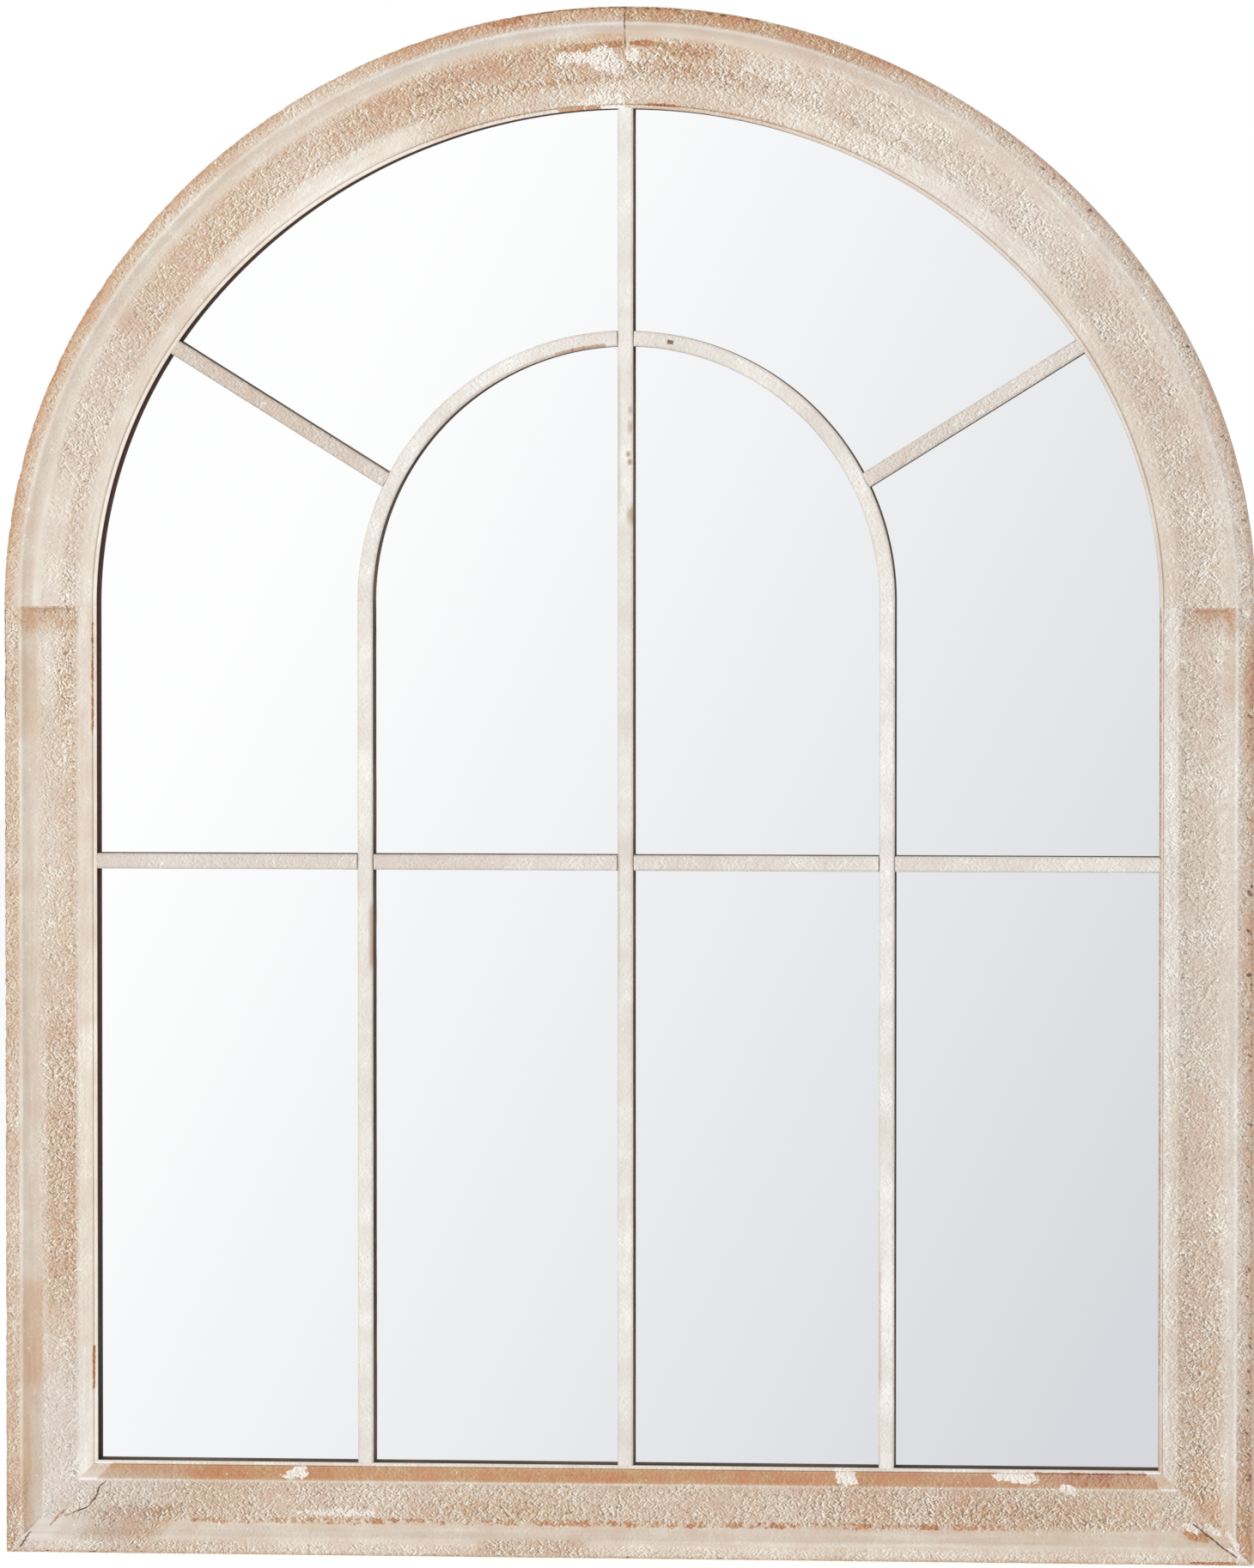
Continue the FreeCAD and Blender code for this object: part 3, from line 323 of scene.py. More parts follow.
HEAD_RUN = OUTLINE.length
MARKS = {
    "arch_left": [
        Patch((-5, 80), (21, 35), (35, 4), tone=.08, rough=-.5),
        Patch((60, 330), (0, 2.5), (60, 2), tone=-.06, stain=.12),
        Patch((-5, 240), (48, 57), (60, 3), tone=-.06, cool=.06),
        Patch((-5, 200), (14, 46), (60, 5), cool=.1),
        Patch((150, 330), (2, 9), (60, 2), tone=-.05),
        Patch((230, 430), (22, 46), (60, 3), tone=-.06),
        Patch((500, 620), (0, 9), (60, 2), tone=-.07, rough=.3),
        Patch((500, 620), (20, 46), (60, 3), rough=.25, tone=-.04),
        Patch((480, 620), (46, 57), (40, 3), rough=.55, tone=-.15),
        Patch((480, 620), (0, 9), (60, 2), tone=-.04),
        Spot((606, 18), (26, 7), tone=-.14),
        Patch((470, 620), (9, 16), (60, 2), cool=.3),
        Patch((540, 600), (24, 45), (40, 5), tone=-.06),
        Spot((596, 33), (17, 12), lime=1.15),
        Spot((574, 31), (18, 7), lime=.95),
        Spot((606, 38), (12, 11), lime=.8),
        Spot((582, 25.5), (24, 4.5), stain=1.3),
        Spot((604, 24), (14, 3), stain=1.2),
        Spot((596, 55), (34, 5), lime=.75),
        Patch((596, 620), (38, 58), (8, 4), tone=.07),
        Patch((565, 592), (58, 60), (6, .8), stain=1.0),
        Patch((545, 620), (0, .8), (20, .8), dark=.75),
        Spot((536, 2), (20, 5), stain=1.0),
        Spot((470, 32), (90, 14), tone=-.07, rough=.3),
        Patch((105, 109), (0, 1.5), (1.5, 1.5), chip=1.0),
        Crack([(HEAD_RUN, 0), (HEAD_RUN, 27)], 1.5, dark=.8),
    ],
    "arch_right": [
        Patch((515, 609), (0, 1.4), (12, 1.4), dark=.5, stain=.8),
        Patch((430, 515), (0, 2), (20, 2), stain=.6),
        Spot((600, 23.5), (18, 3), stain=1.2),
        Spot((572, 27), (30, 9), stain=.55, tone=-.05, rough=.3),
        Spot((440, 50), (60, 12), rough=.5, lime=.25),
        Patch((520, 620), (10, 18), (30, 2), tone=-.02, rough=-.3),
        Patch((480, 620), (0, 9), (60, 2), tone=-.17, rough=.3),
        Patch((420, 620), (9, 17), (60, 2), cool=.18, tone=-.05),
        Patch((440, 620), (0, 9), (60, 2), tone=-.05),
        Patch((540, 600), (22, 38), (14, 4), tone=-.09, rough=.35),
        Patch((520, 620), (38, 57), (50, 5), rough=.5, tone=-.09),
        Spot((609, 31), (6, 6), lime=1.5),
        Patch((577, 596), (56.5, 57.6), (4, .8), stain=.9),
        Patch((90, 350), (1.5, 5), (40, 2), dark=.36),
        Patch((-5, 240), (22, 46), (60, 3), tone=-.04, cool=-.05),
        Patch((-5, 240), (48, 57), (60, 3), tone=-.09, cool=-.08),
        Patch((-5, 60), (1, 6), (30, 3), dark=.34),
        Patch((-5, 200), (14, 50), (60, 6), tone=-.01, rough=.12),
        Crack([(HEAD_RUN, 0), (HEAD_RUN, 30)], 1.2, dark=.55),
        Crack([(395, 41), (412, 37), (420, 33)], 1.6, lime=1.0),
    ],
    "jamb_left": [
        # The next two darken the top of the deeper hollow under the joint's step and a strip along its outer
        # side: painted shadow and painted shade, the first with some stain.
        Patch((598, 612), (12, 47), (14, 3), tone=-.15, rough=.2, stain=.22),
        Patch((545, 600), (12.6, 17), (40, 6), tone=-.11),
        Patch((380, 606), (48, 57), (60, 3), tone=-.04),
        Spot((560, 38), (50, 10), rough=.5, tone=-.06),
        Patch((548, 590), (26, 33), (12, 4), tone=.04, rough=-.25),
        Patch((150, 310), (29, 44), (45, 4), tone=-.11, rough=.35),
        Patch((380, 580), (4, 9.5), (60, 2), tone=-.07),
        Patch((10, 145), (12, 22), (30, 2), tone=-.15),
        Patch((-5, 120), (24, 46), (40, 4), tone=.02, rough=-.1),
        Patch((523, 592), (56.6, 57.8), (10, .6), dark=.15, stain=.75),
        Patch((55, 82), (56.6, 58), (4, .8), stain=1.0),
        Patch((540, 606), (0, .6), (12, .7), dark=.8),
        Patch((430, 500), (0, .6), (12, .7), dark=.6),
        Patch((-2, 20), (5, 50), (12, 8), tone=.05),
        Patch((-5, 70), (20, 50), (40, 6), cool=.3),
        Patch((-5, 25), (1, 12), (20, 4), rough=.5, tone=-.08),
    ],
    "jamb_right": [
        # The next three darken the top of the deeper hollow under the joint's step and its outer corner:
        # painted shadow, the first with some stain.
        Patch((599, 612), (11, 42), (16, 5), tone=-.13, rough=.2, stain=.2),
        Patch((603, 612), (17, 36), (6, 3), tone=-.1, cool=-.12),
        Patch((594, 612), (13, 16), (12, 2), tone=-.1, cool=-.1),
        Patch((480, 600), (18, 46), (60, 5), tone=-.03, cool=-.05),
        Patch((60, 594), (0, 6.5), (14, 3), tone=-.09, stain=.08, cool=-.08),
        Patch((-5, 260), (20, 50), (60, 4), tone=-.02, cool=-.2),
        # A strip along the deeper hollow's outer side below the joint, darkened as painted shade.
        Patch((555, 600), (12.6, 17), (20, 3), tone=-.12),
        Patch((524, 579), (.5, 5), (20, 2), tone=-.14, stain=.2),
        Patch((330, 524), (2, 8), (40, 2), tone=-.02),
        Patch((12, 75), (1.5, 9.5), (25, 1.5), tone=-.18, rough=.4, stain=.2),
        Patch((-5, 160), (22, 46), (60, 4), rough=.3, tone=-.04),
        Patch((-5, 330), (49, 53), (40, 2), tone=-.06),
        Patch((60, 560), (.5, 4), (60, 2), dark=.4),
        Spot((2, 12), (9, 7), lime=1.3),
        Spot((30, 33), (40, 12), rough=.4, tone=-.05),
        Patch((60, 600), (58.8, 60), (20, .6), stain=.7),
    ],
    "bottom_rail": [
        Patch((-2, 12), (47.5, 58), (2, 1), tone=.3),
        Patch((789, 802), (47.5, 58), (2, 1), tone=.28),
        Spot((157, 53), (14, 7), lime=1.1),
        Spot((690, 55), (26, 6), lime=1.2),
        Patch((708, 786), (50, 57.5), (8, 1.5), stain=.9),
        Spot((721, 47), (9, 6), lime=1.7),
        Spot((200, 27), (46, 4), lime=.9),
        Spot((300, 30), (90, 9), rough=.3, tone=-.04),
        Spot((640, 32), (90, 12), rough=.3, tone=-.05),
        Patch((110, 640), (20.5, 23), (60, 2.5), stain=.5),
        Patch((45, 80), (12, 27), (16, 6), rough=.6, tone=-.17),
        Patch((313, 366), (4, 10), (14, 3), rough=.7, tone=-.1),
        Patch((60, 140), (3, 8), (20, 3), rough=.4, tone=-.05),
        Patch((90, 640), (0, 1), (60, 1), dark=.42),
        Patch((763, 790), (0, 1.8), (3, 1), stain=1.0),
        Spot((563, 55), (12, 10), lime=1.3),
        Spot((781, 18), (13, 6), stain=.9, tone=-.2),
        Patch((560, 700), (22, 47), (60, 5), rough=.3, tone=-.06),
        Spot((784, 23.5), (7, 5), lime=1.6),
        Spot((797, 22), (5, 6), lime=1.6),
        Spot((797, 8), (5, 6), lime=1.4),
        Patch((-2, 14), (5, 50), (10, 8), tone=.07, rough=-.2),
        Patch((-2, 60), (8, 50), (30, 8), cool=.25),
        Patch((-2, 12), (0, 7), (10, 3), rough=.4, tone=-.1),
        Crack([(6, 3.3), (2.8, 12.6)], 1.3, dark=1.0),
        Crack([(11.5, 17.5), (10.6, 26.3)], 2.2, stain=.75),
        Crack([(15.7, 23.6), (25.4, 29), (24.2, 36), (19.7, 42.7), (21.1, 46)], 1.3, dark=.7, stain=.6),
        Crack([(787, 25), (795, 6)], 1.4, dark=1.0),
        Patch((2, 60), (0, .8), (20, .8), dark=.5),
    ],
    "centre_bar": [
        Spot((674, 3.4), (4, 2), tone=-.4),
        Spot((663, 3.2), (6, 2.4), tone=-.34),
        Spot((646, 2.2), (2.6, 2.2), tone=-.8),
        Spot((641, 3.0), (2.8, 2.0), tone=-.8),
        Spot((607, 4.6), (9, 5), tone=-.5),
        Patch((620, 690), (-5, -3.6), (20, 1), tone=-.16),
        Patch((330, 385), (-5, -3.8), (20, .6), tone=-.14),
        Spot((470, 1), (20, 3), tone=-.06),
        Spot((150, -2), (30, 3), tone=-.05),
    ],
    "side_bar_left": [Patch((322, 354), (3.4, 5), (8, 1.2), tone=-.4)],
    "side_bar_right": [Patch((-2, 9), (-5, 5), (3, 1), tone=.06),
                       Patch((60, 120), (-5, -3.6), (20, .8), tone=-.2)],
    "transom_bar": [Patch((-5, 200), (-6, 6), (150, 1), tone=-.1, cool=-.16)],
    "hoop_arch": [Patch((218, 248), (3.4, 5), (5, .9), stain=.95),
                  Patch((290, 293), (-1, 1), (1, 1), dark=.9),
                  Patch((120, 218), (3.6, 5), (30, .8), tone=-.15)],
    "spoke_left": [Patch((60, 160), (-6, 6), (60, 1), tone=-.17),
                   Patch((-5, 160), (-6, 6), (1, 1), tone=-.04)],
    "spoke_right": [Patch((30, 160), (-6, 6), (60, 1), tone=-.07)],
}
BAR_TONES = {"centre_bar": .88, "side_bar_left": .89, "side_bar_right": .91, "transom_bar": .84,
             "hoop_arch": .88, "spoke_left": .81, "spoke_right": .83}
BAR_ROUGHS = {"centre_bar": .10, "side_bar_left": .12, "side_bar_right": .15, "transom_bar": .25,
              "hoop_arch": .18, "spoke_left": .40, "spoke_right": .45}
BAR_COOL = 0.38
STORED = ("tone", "rough", "lime", "stain", "dark", "cool")  # what the material reads
LAYERS = ("run", "inset", "wall") + STORED
OFF_RUN = -99  # a run before every member's foot, for surfaces without marks
LIME_BUILD = 0.3  # how far thick lime stands out
CRACK_DEPTH = 0.5
JOINT_DEPTH = 0.3  # of the worn groove at a joint, on the front
RIGHT_COOL = 0.28  # how much greyer the finish is at the far right
WALL_TONE = 0.5  # the outer wall at its foot, and how it lightens forwards
WALL_RISE = 0.008
WALL_ROUGH = 0.8
WALL_DARK = 0.24
BACK_TONE = 0.8
SEAM_TONE = 0.5  # how much darker a joint is at the back
SEAM_DEPTH = 0.35
ARRIS_SINK = 0.6  # how far a worn arris sinks, as a share of how far it draws back
# The bars' sides are dark brown, partly as raw timber and partly as painted shade beside each bar.
BAR_SIDE_TONE = 0.33
BAR_EDGE_TONE = 0.05
BAR_STIPPLE = 0.25  # the stipple that every bar has before its own roughness
STIPPLE_DEPTH = 0.34


def coat(node, tone, rough, run, inset):
    """The finish at a place: the band's tone and roughness, changed by the member's marks."""
    values = dict.fromkeys(STORED + ("chip",), 0.0)
    values["tone"], values["rough"] = tone, rough
    for mark in MARKS[node]:
        weight = mark.weight(run, inset)
        if weight:
            for key, amount in mark.change.items():
                values[key] += weight * amount
    values["rough"] = max(0.0, values["rough"])
    return values


# -------- wear
def stipple(point, rough):
    """Depth of the brushed stipple below the coat's top, in millimetres."""
    ridges = abs(noise.noise(point / 4.6)) + 0.5 * abs(noise.noise(point / 2.3 + point.zyx / 90))
    return rough * STIPPLE_DEPTH * max(0.0, 0.75 - 1.5 * ridges) + 0.1 * (1 + noise.noise(point / 40))


def edge_wear(inset, level, point, chip):
    """Chips along the outer arris: how far the surface is drawn back there."""
    near = span(5.0, 0.5, inset) * span(OUTER_LEVEL - 7.0, OUTER_LEVEL - 1.0, level)
    if near == 0.0:
        return 0.0
    loss = span(0.2, 0.55, noise.noise(point / 9.0)) + 0.6 * span(0.15, 0.5, noise.noise(point / 3.5))
    return near * (0.1 + 0.5 * loss + 0.8 * chip)


# -------- sweeping a section
def swept(section, length):
    """A closed straight sweep of a section along +X, with rings one step apart, and capped."""
    bm = bmesh.new()
    layer = {key: bm.verts.layers.float.new(key) for key in LAYERS}
    verts = [bm.verts.new((0, across, level)) for across, level in section]
    edges = [bm.edges.new(pair) for pair in zip(verts, verts[1:] + verts[:1])]
    bmesh.ops.spin(bm, geom=edges, cent=(0, 0, 0), axis=(1, 0, 0), dvec=(length, 0, 0), angle=0, steps=1)
    rims = [[e for e in bm.edges if all(abs(v.co.x - x) < 0.1 for v in e.verts)] for x in (0, length)]
    rails = [e for e in bm.edges if abs(e.verts[0].co.x - e.verts[1].co.x) > 0.1]
    for rim in rims:
        bmesh.ops.triangle_fill(bm, edges=rim, use_beauty=True)
    bmesh.ops.subdivide_edges(bm, edges=rails, cuts=round(length / STEP) - 1, use_grid_fill=True)
    return bm, layer


def linked(name, data):
    """A new object in the scene that shows the data."""
    obj = bpy.data.objects.new(name, data)
    bpy.context.scene.collection.objects.link(obj)
    return obj


def mesh_object(name, bm, material):
    mesh = bpy.data.meshes.new(name)
    bm.to_mesh(mesh)
    bm.free()
    mesh.materials.append(material)
    return linked(name, mesh)


def finished(bm, name, material, body, *nodes, smooth=True):
    """Turns a bmesh in millimetres into a piece that stands for CAD nodes."""
    bmesh.ops.scale(bm, vec=(MM, MM, MM), verts=bm.verts)
    bmesh.ops.recalc_face_normals(bm, faces=bm.faces)
    piece = mesh_object(name, bm, material)
    if smooth:
        piece.data.shade_smooth()
        piece.data.set_sharp_from_angle(angle=SHARP_ANGLE)
    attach(piece, body)
    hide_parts(*nodes)


def write(vert, layer, run, inset, wall, values):
    """Keeps the finish of a place on its vertex, for the material to read."""
    vert[layer["run"]], vert[layer["inset"]], vert[layer["wall"]] = run * MM, inset * MM, wall
    for key in STORED:
        vert[layer[key]] = values[key]


def wall_tone(node, run):
    """The wall over the glass: red-brown, but near black along the rail and the sides' feet; this dark colour
    is partly the raw timber and partly painted shade of the narrow gap by the glass.
    """
    if node == "bottom_rail":
        return 0.25
    return 0.2 * span(260, 120, run) if node.startswith("jamb") else 0.0


def member(name, section, length, place, seed, ends, material, node, recess=None):
    """A frame member: a moulding swept along its run, worn, and bent into place.

    place(run, inset) gives the XZ point; ends are the runs where it meets its neighbours.
    """
    bm, layer = swept(section, length)
    seed = Vector(seed)
    for v in bm.verts:
        run, inset, level = v.co
        spot = place(run, inset)
        point = Vector((spot.x, 0, spot.y)) + seed
        joint = span(JOINT_WEAR, 0.0, min(abs(run - end) for end in ends))
        outer = inset < 0.5 and level < OUTER_LEVEL - 1
        front = level > GLASS_LEVEL + FRONT_CLEAR and not outer
        front = front and not (inset > FACE - 0.2 and level < FLAT_LEVEL - BEAD_ROUND + 0.1)
        if front:
            values = coat(node, table(inset, TONES[node]), table(inset, ROUGHS[node]), run, inset)
            if recess:
                level = recess(run, inset, level)
            level += LIME_BUILD * min(1.0, values["lime"]) * (inset > HOLLOW_START + HOLLOW_BANK)
            level -= stipple(point, values["rough"])
            level -= CRACK_DEPTH * min(1.0, values["dark"]) * (inset > 2) * span(0.5, 0.8, values["dark"])
            level -= JOINT_DEPTH * joint
            values["cool"] += RIGHT_COOL * span(60, 330, spot.x) * span(20, 90, spot.y)
            wall = 0.0
        elif outer:
            values = coat(node, WALL_TONE + WALL_RISE * level, WALL_ROUGH, run, level - OUTER_LEVEL)
            values["dark"] += WALL_DARK
            wall = 0.0
        else:
            back = inset < FACE - REBATE_WIDTH + 0.5 and level < GLASS_LEVEL
            values = coat(node, BACK_TONE if back else wall_tone(node, run), 0.0, OFF_RUN, inset)
            wall = 1.0
            if back:
                values["tone"] -= SEAM_TONE * joint
                level += SEAM_DEPTH * joint
        write(v, layer, run, level - OUTER_LEVEL if outer else inset, wall, values)
        if level > OUTER_LEVEL - 8 and inset < 6:
            worn = edge_wear(inset, level, point, values["chip"])
            level -= ARRIS_SINK * worn
            spot = place(run, inset + worn)
        v.co = Vector((spot.x, BACK_Y - level, spot.y))
    finished(bm, name, material, "frame", node)


def head_place(side):
    """Bends a run along the arched head; the inner flat widens towards the crown."""
    def place(run, inset):
        point, way = OUTLINE.place(run)
        if inset > HOLLOW_END:
            face = SIGHT.depth_from(point, way)
            flat = FACE - BEAD_WIDTH - QUIRK_WIDTH
            if inset <= flat:
                widened = (inset - HOLLOW_END) * (face - FACE + flat - HOLLOW_END)
                inset = HOLLOW_END + widened / (flat - HOLLOW_END)
            else:
                inset += face - FACE
        spot = point - way * inset
        return Vector((side * spot.x, SPRING + spot.y))
    return place


def jamb_place(side):
    """Stands a run upright, its foot cut to the mitre."""
    def place(run, inset):
        return Vector((side * (HALF - inset), inset + run * (SPRING - inset) / SPRING))
    return place


def rail_place(run, inset):
    """Lays a run along the bottom, both ends cut to the mitre."""
    return Vector(((2 * run / (2 * HALF) - 1) * (HALF - inset), inset))


def recess_lip(run, inset, level):
    """The deeper hollow of a side starts a little below the joint, with rounded corners."""
    side = min(inset - HOLLOW_START - 0.4, HOLLOW_END - 0.9 - inset)
    down = SPRING - LIP - run
    if side >= LIP_ROUND or down >= LIP_ROUND:
        depth = min(side, down)
    else:
        depth = LIP_ROUND - math.hypot(LIP_ROUND - side, LIP_ROUND - down)
    if down > 2 * LIP_ROUND or not HOLLOW_START < inset < HOLLOW_END:
        return level
    shallow = table(inset, HEAD_FRONT)
    return shallow + (level - shallow) * span(-0.3, 1.1, depth if down < LIP_ROUND else down)


def frame_members(material):
    """The two halves of the head, the two sides and the bottom rail."""
    head = moulding_section(HEAD_HOLLOW_LEVEL)
    deep = moulding_section(JAMB_HOLLOW_LEVEL)
    for side, word, seed in ((1, "right", (11, 3, 5)), (-1, "left", (71, 9, 2))):
        member("head_" + word, head, OUTLINE.length, head_place(side), seed, (0, OUTLINE.length),
               material, "arch_" + word)
        member("side_" + word, deep, SPRING, jamb_place(side), tuple(s + 31 for s in seed), (0, SPRING),
               material, "jamb_" + word, recess_lip)
    member("rail_bottom", deep, 2 * HALF, rail_place, (23, 41, 8), (0, 2 * HALF), material, "bottom_rail")


# -------- glazing bars
def bar(name, length, place, seed, crossings, material, node):
    """A glazing bar along its run; place(run, across) gives the XZ point.

    crossings are the runs where another bar passes in front of this one.
    """
    bm, layer = swept(bar_section(), length)
    seed = Vector(seed)
    side = BAR_WIDTH / 2
    for v in bm.verts:
        run, across, level = v.co
        spot = place(run, across)
        point = Vector((spot.x, 0, spot.y)) + seed
        front = level > FLAT_LEVEL - BAR_CHAMFER - 0.1
        if front:
            values = coat(node, BAR_TONES[node], BAR_ROUGHS[node], run, across)
            values["tone"] -= BAR_EDGE_TONE * span(side - 1.5, side, abs(across))
            values["cool"] = BAR_COOL
            level -= stipple(point, BAR_STIPPLE + values["rough"])
            edge = span(side - BAR_CHAMFER - 0.6, side, abs(across))
            chips = 0.45 * span(0.1, 0.5, noise.noise(point / 7.0))
            level -= edge * (chips + 0.4 * min(1.0, values["stain"]))
            level -= 0.4 * min(1.0, values["dark"])
            across *= 1 - 0.03 * (1 + noise.noise(point / 18.0))
            spot = place(run, across)
        else:
            values = coat(node, BAR_SIDE_TONE, 0.0, OFF_RUN, across)
        write(v, layer, run, FACE - BEAD_WIDTH / 2, 0.0 if front else 1.0, values)
        if any(abs(run - at) < side - 0.4 for at in crossings) and level > GLASS_LEVEL + 3:
            level = (GLASS_LEVEL + FLAT_LEVEL) / 2 - 0.3
        v.co = Vector((spot.x, BACK_Y - level, spot.y))
    finished(bm, name, material, "frame", node)


def glazing_bars(material):
    """The seven bars in front of the glass."""
    tuck = 0.5                 # how far an end runs into what it meets
    foot = FACE - tuck
    sight_top = SPRING + SIGHT.place(SIGHT.length)[0].y + tuck
    sight_half = HALF - FACE + tuck

    def upright(x):
        return lambda run, across: Vector((x + across, foot + run))

    bar("bar_centre", sight_top - foot, upright(0), (5, 2, 1), (), material, "centre_bar")
    for side, word in ((1, "right"), (-1, "left")):
        bar("bar_side_" + word, HOOP_SPRING - foot, upright(side * SIDE_BAR_X), (side * 9, 4, 3), (),
            material, "side_bar_" + word)
    crossed = [sight_half + x for x in (-SIDE_BAR_X, 0, SIDE_BAR_X)]
    bar("bar_transom", 2 * sight_half, lambda run, across: Vector((run - sight_half, TRANSOM_Z + across)),
        (7, 7, 1), crossed, material, "transom_bar")

    def hoop(run, across):
        angle = run / SIDE_BAR_X
        radius = SIDE_BAR_X - across
        return Vector((-radius * math.cos(angle), HOOP_SPRING + radius * math.sin(angle)))

    bar("bar_hoop", math.pi * SIDE_BAR_X, hoop, (3, 8, 6), (math.pi / 2 * SIDE_BAR_X,), material, "hoop_arch")

    way = Vector((math.cos(SPOKE_ANGLE), math.sin(SPOKE_ANGLE)))
    square = Vector((-way.y, way.x))
    lift = HOOP_SPRING - SPOKE_FOCUS
    outside = SIDE_BAR_X + BAR_WIDTH / 2 - tuck
    inner = lift * way.y + math.sqrt((lift * way.y) ** 2 + outside ** 2 - lift ** 2)
    far = Vector((0, SPOKE_FOCUS - SPRING)) + way * HALF * 2
    outer = 2 * HALF - SIGHT.depth_from(far, way) + tuck
    for side, word in ((1, "right"), (-1, "left")):
        def spoke(run, across, side=side):
            spot = way * (inner + run) + square * across
            return Vector((side * spot.x, SPOKE_FOCUS + spot.y))
        bar("bar_spoke_" + word, outer - inner, spoke, (side * 4, 1, 9), (), material, "spoke_" + word)


# -------- hanging screws
SCREW_HEAD = 3.7
SCREW_DOME = 2.2
SCREW_SHANK = 1.75
CROSS_ARM = 0.42  # half the width of an arm of the cross recess
CROSS_REACH = 2.1
CROSS_DEPTH = 1.3
CROSS_TAPER = 0.45  # share of its depth that an arm loses towards its end
SCREW_RIM = 0.8  # the straight rim under the dome
DOME_RINGS = 30
SCREW_TURNS = 96


def screw_at(bm, x, seat, z, tip):
    """A pan-headed screw along Y: a turned profile, its cross recess pressed into the dome."""
    profile = [(0, tip), (SCREW_SHANK, tip + SCREW_SHANK), (SCREW_SHANK, seat), (SCREW_HEAD, seat),
               (SCREW_HEAD, seat + SCREW_RIM)]
    for i in range(1, DOME_RINGS):
        radius = SCREW_HEAD * (1 - i / DOME_RINGS)
        bulge = (SCREW_DOME - SCREW_RIM) * (1 - (radius / SCREW_HEAD) ** 4)
        profile.append((radius, seat + SCREW_RIM + bulge))
    profile.append((0, seat + SCREW_DOME))
    verts = [bm.verts.new((x + r, y, z)) for r, y in profile]
    edges = [bm.edges.new(pair) for pair in zip(verts, verts[1:])]
    bmesh.ops.spin(bm, geom=verts + edges, cent=(x, 0, z), axis=(0, 1, 0), angle=math.tau,
                   steps=SCREW_TURNS, use_merge=True)
    near = [v for v in bm.verts if math.hypot(v.co.x - x, v.co.z - z) <= SCREW_HEAD + 0.1]
    bmesh.ops.remove_doubles(bm, verts=near, dist=0.001)
    for v in bm.verts:
        along, across = sorted((abs(v.co.x - x), abs(v.co.z - z)), reverse=True)
        if along < CROSS_REACH and v.co.y > seat + SCREW_RIM:
            arm = span(CROSS_ARM + 0.12, CROSS_ARM - 0.05, across)
            arm *= span(CROSS_REACH, CROSS_REACH - 0.5, along)
            v.co.y -= arm * CROSS_DEPTH * (1 - CROSS_TAPER * along / CROSS_REACH)


def hanging_screws(material):
    """The four screws of the two straps, at the corners of the box they take up."""
    low, high = (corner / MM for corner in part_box("hanger_screws"))
    bm = bmesh.new()
    for x in (low.x + SCREW_HEAD, high.x - SCREW_HEAD):
        for z in (low.z + SCREW_HEAD, high.z - SCREW_HEAD):
            screw_at(bm, x, high.y - SCREW_DOME, z, low.y)
    finished(bm, "screws", material, "frame", "hanger_screws")


# -------- nails across the mitres
NAIL_INSETS = (17.0, 33.0)
NAIL_LEG = 7.0
NAIL_STEEL = 0.6
NAIL_LEVELS = (-0.05, 10.4)  # from just proud of the back face to the driven end


def mitre_nails(material):
    """Bent steel nails driven in from behind, two across each mitre."""
    bm = bmesh.new()
    legs = [(0, 0), (NAIL_LEG, 0), (NAIL_LEG, NAIL_STEEL), (NAIL_STEEL, NAIL_STEEL),
            (NAIL_STEEL, NAIL_LEG), (0, NAIL_LEG)]
    back, front = (BACK_Y - level for level in NAIL_LEVELS)
    for side in (1, -1):
        for inset in NAIL_INSETS:
            verts = [bm.verts.new((side * (HALF - inset - a), back, inset + b)) for a, b in legs]
            nail = bmesh.ops.extrude_face_region(bm, geom=[bm.faces.new(verts)])["geom"]
            bmesh.ops.translate(bm, vec=(0, front - back, 0),
                                verts=[v for v in nail if isinstance(v, bmesh.types.BMVert)])
    finished(bm, "nails", material, "frame", "mitre_v_nails", smooth=False)


# -------- materials
class Value:
    """A shader socket; arithmetic on it adds Math nodes."""

    def __init__(self, finish, socket):
        self.finish = finish
        self.socket = socket

    def _with(self, operation, first, second):
        return self.finish.node("Math", {"operation": operation}, {0: first, 1: second})

    def __add__(self, other):
        return self._with("ADD", self, other)

    def __sub__(self, other):
        return self._with("SUBTRACT", self, other)

    def __rsub__(self, other):
        return self._with("SUBTRACT", other, self)

    def __mul__(self, other):
        return self._with("MULTIPLY", self, other)

    __radd__ = __add__
    __rmul__ = __mul__


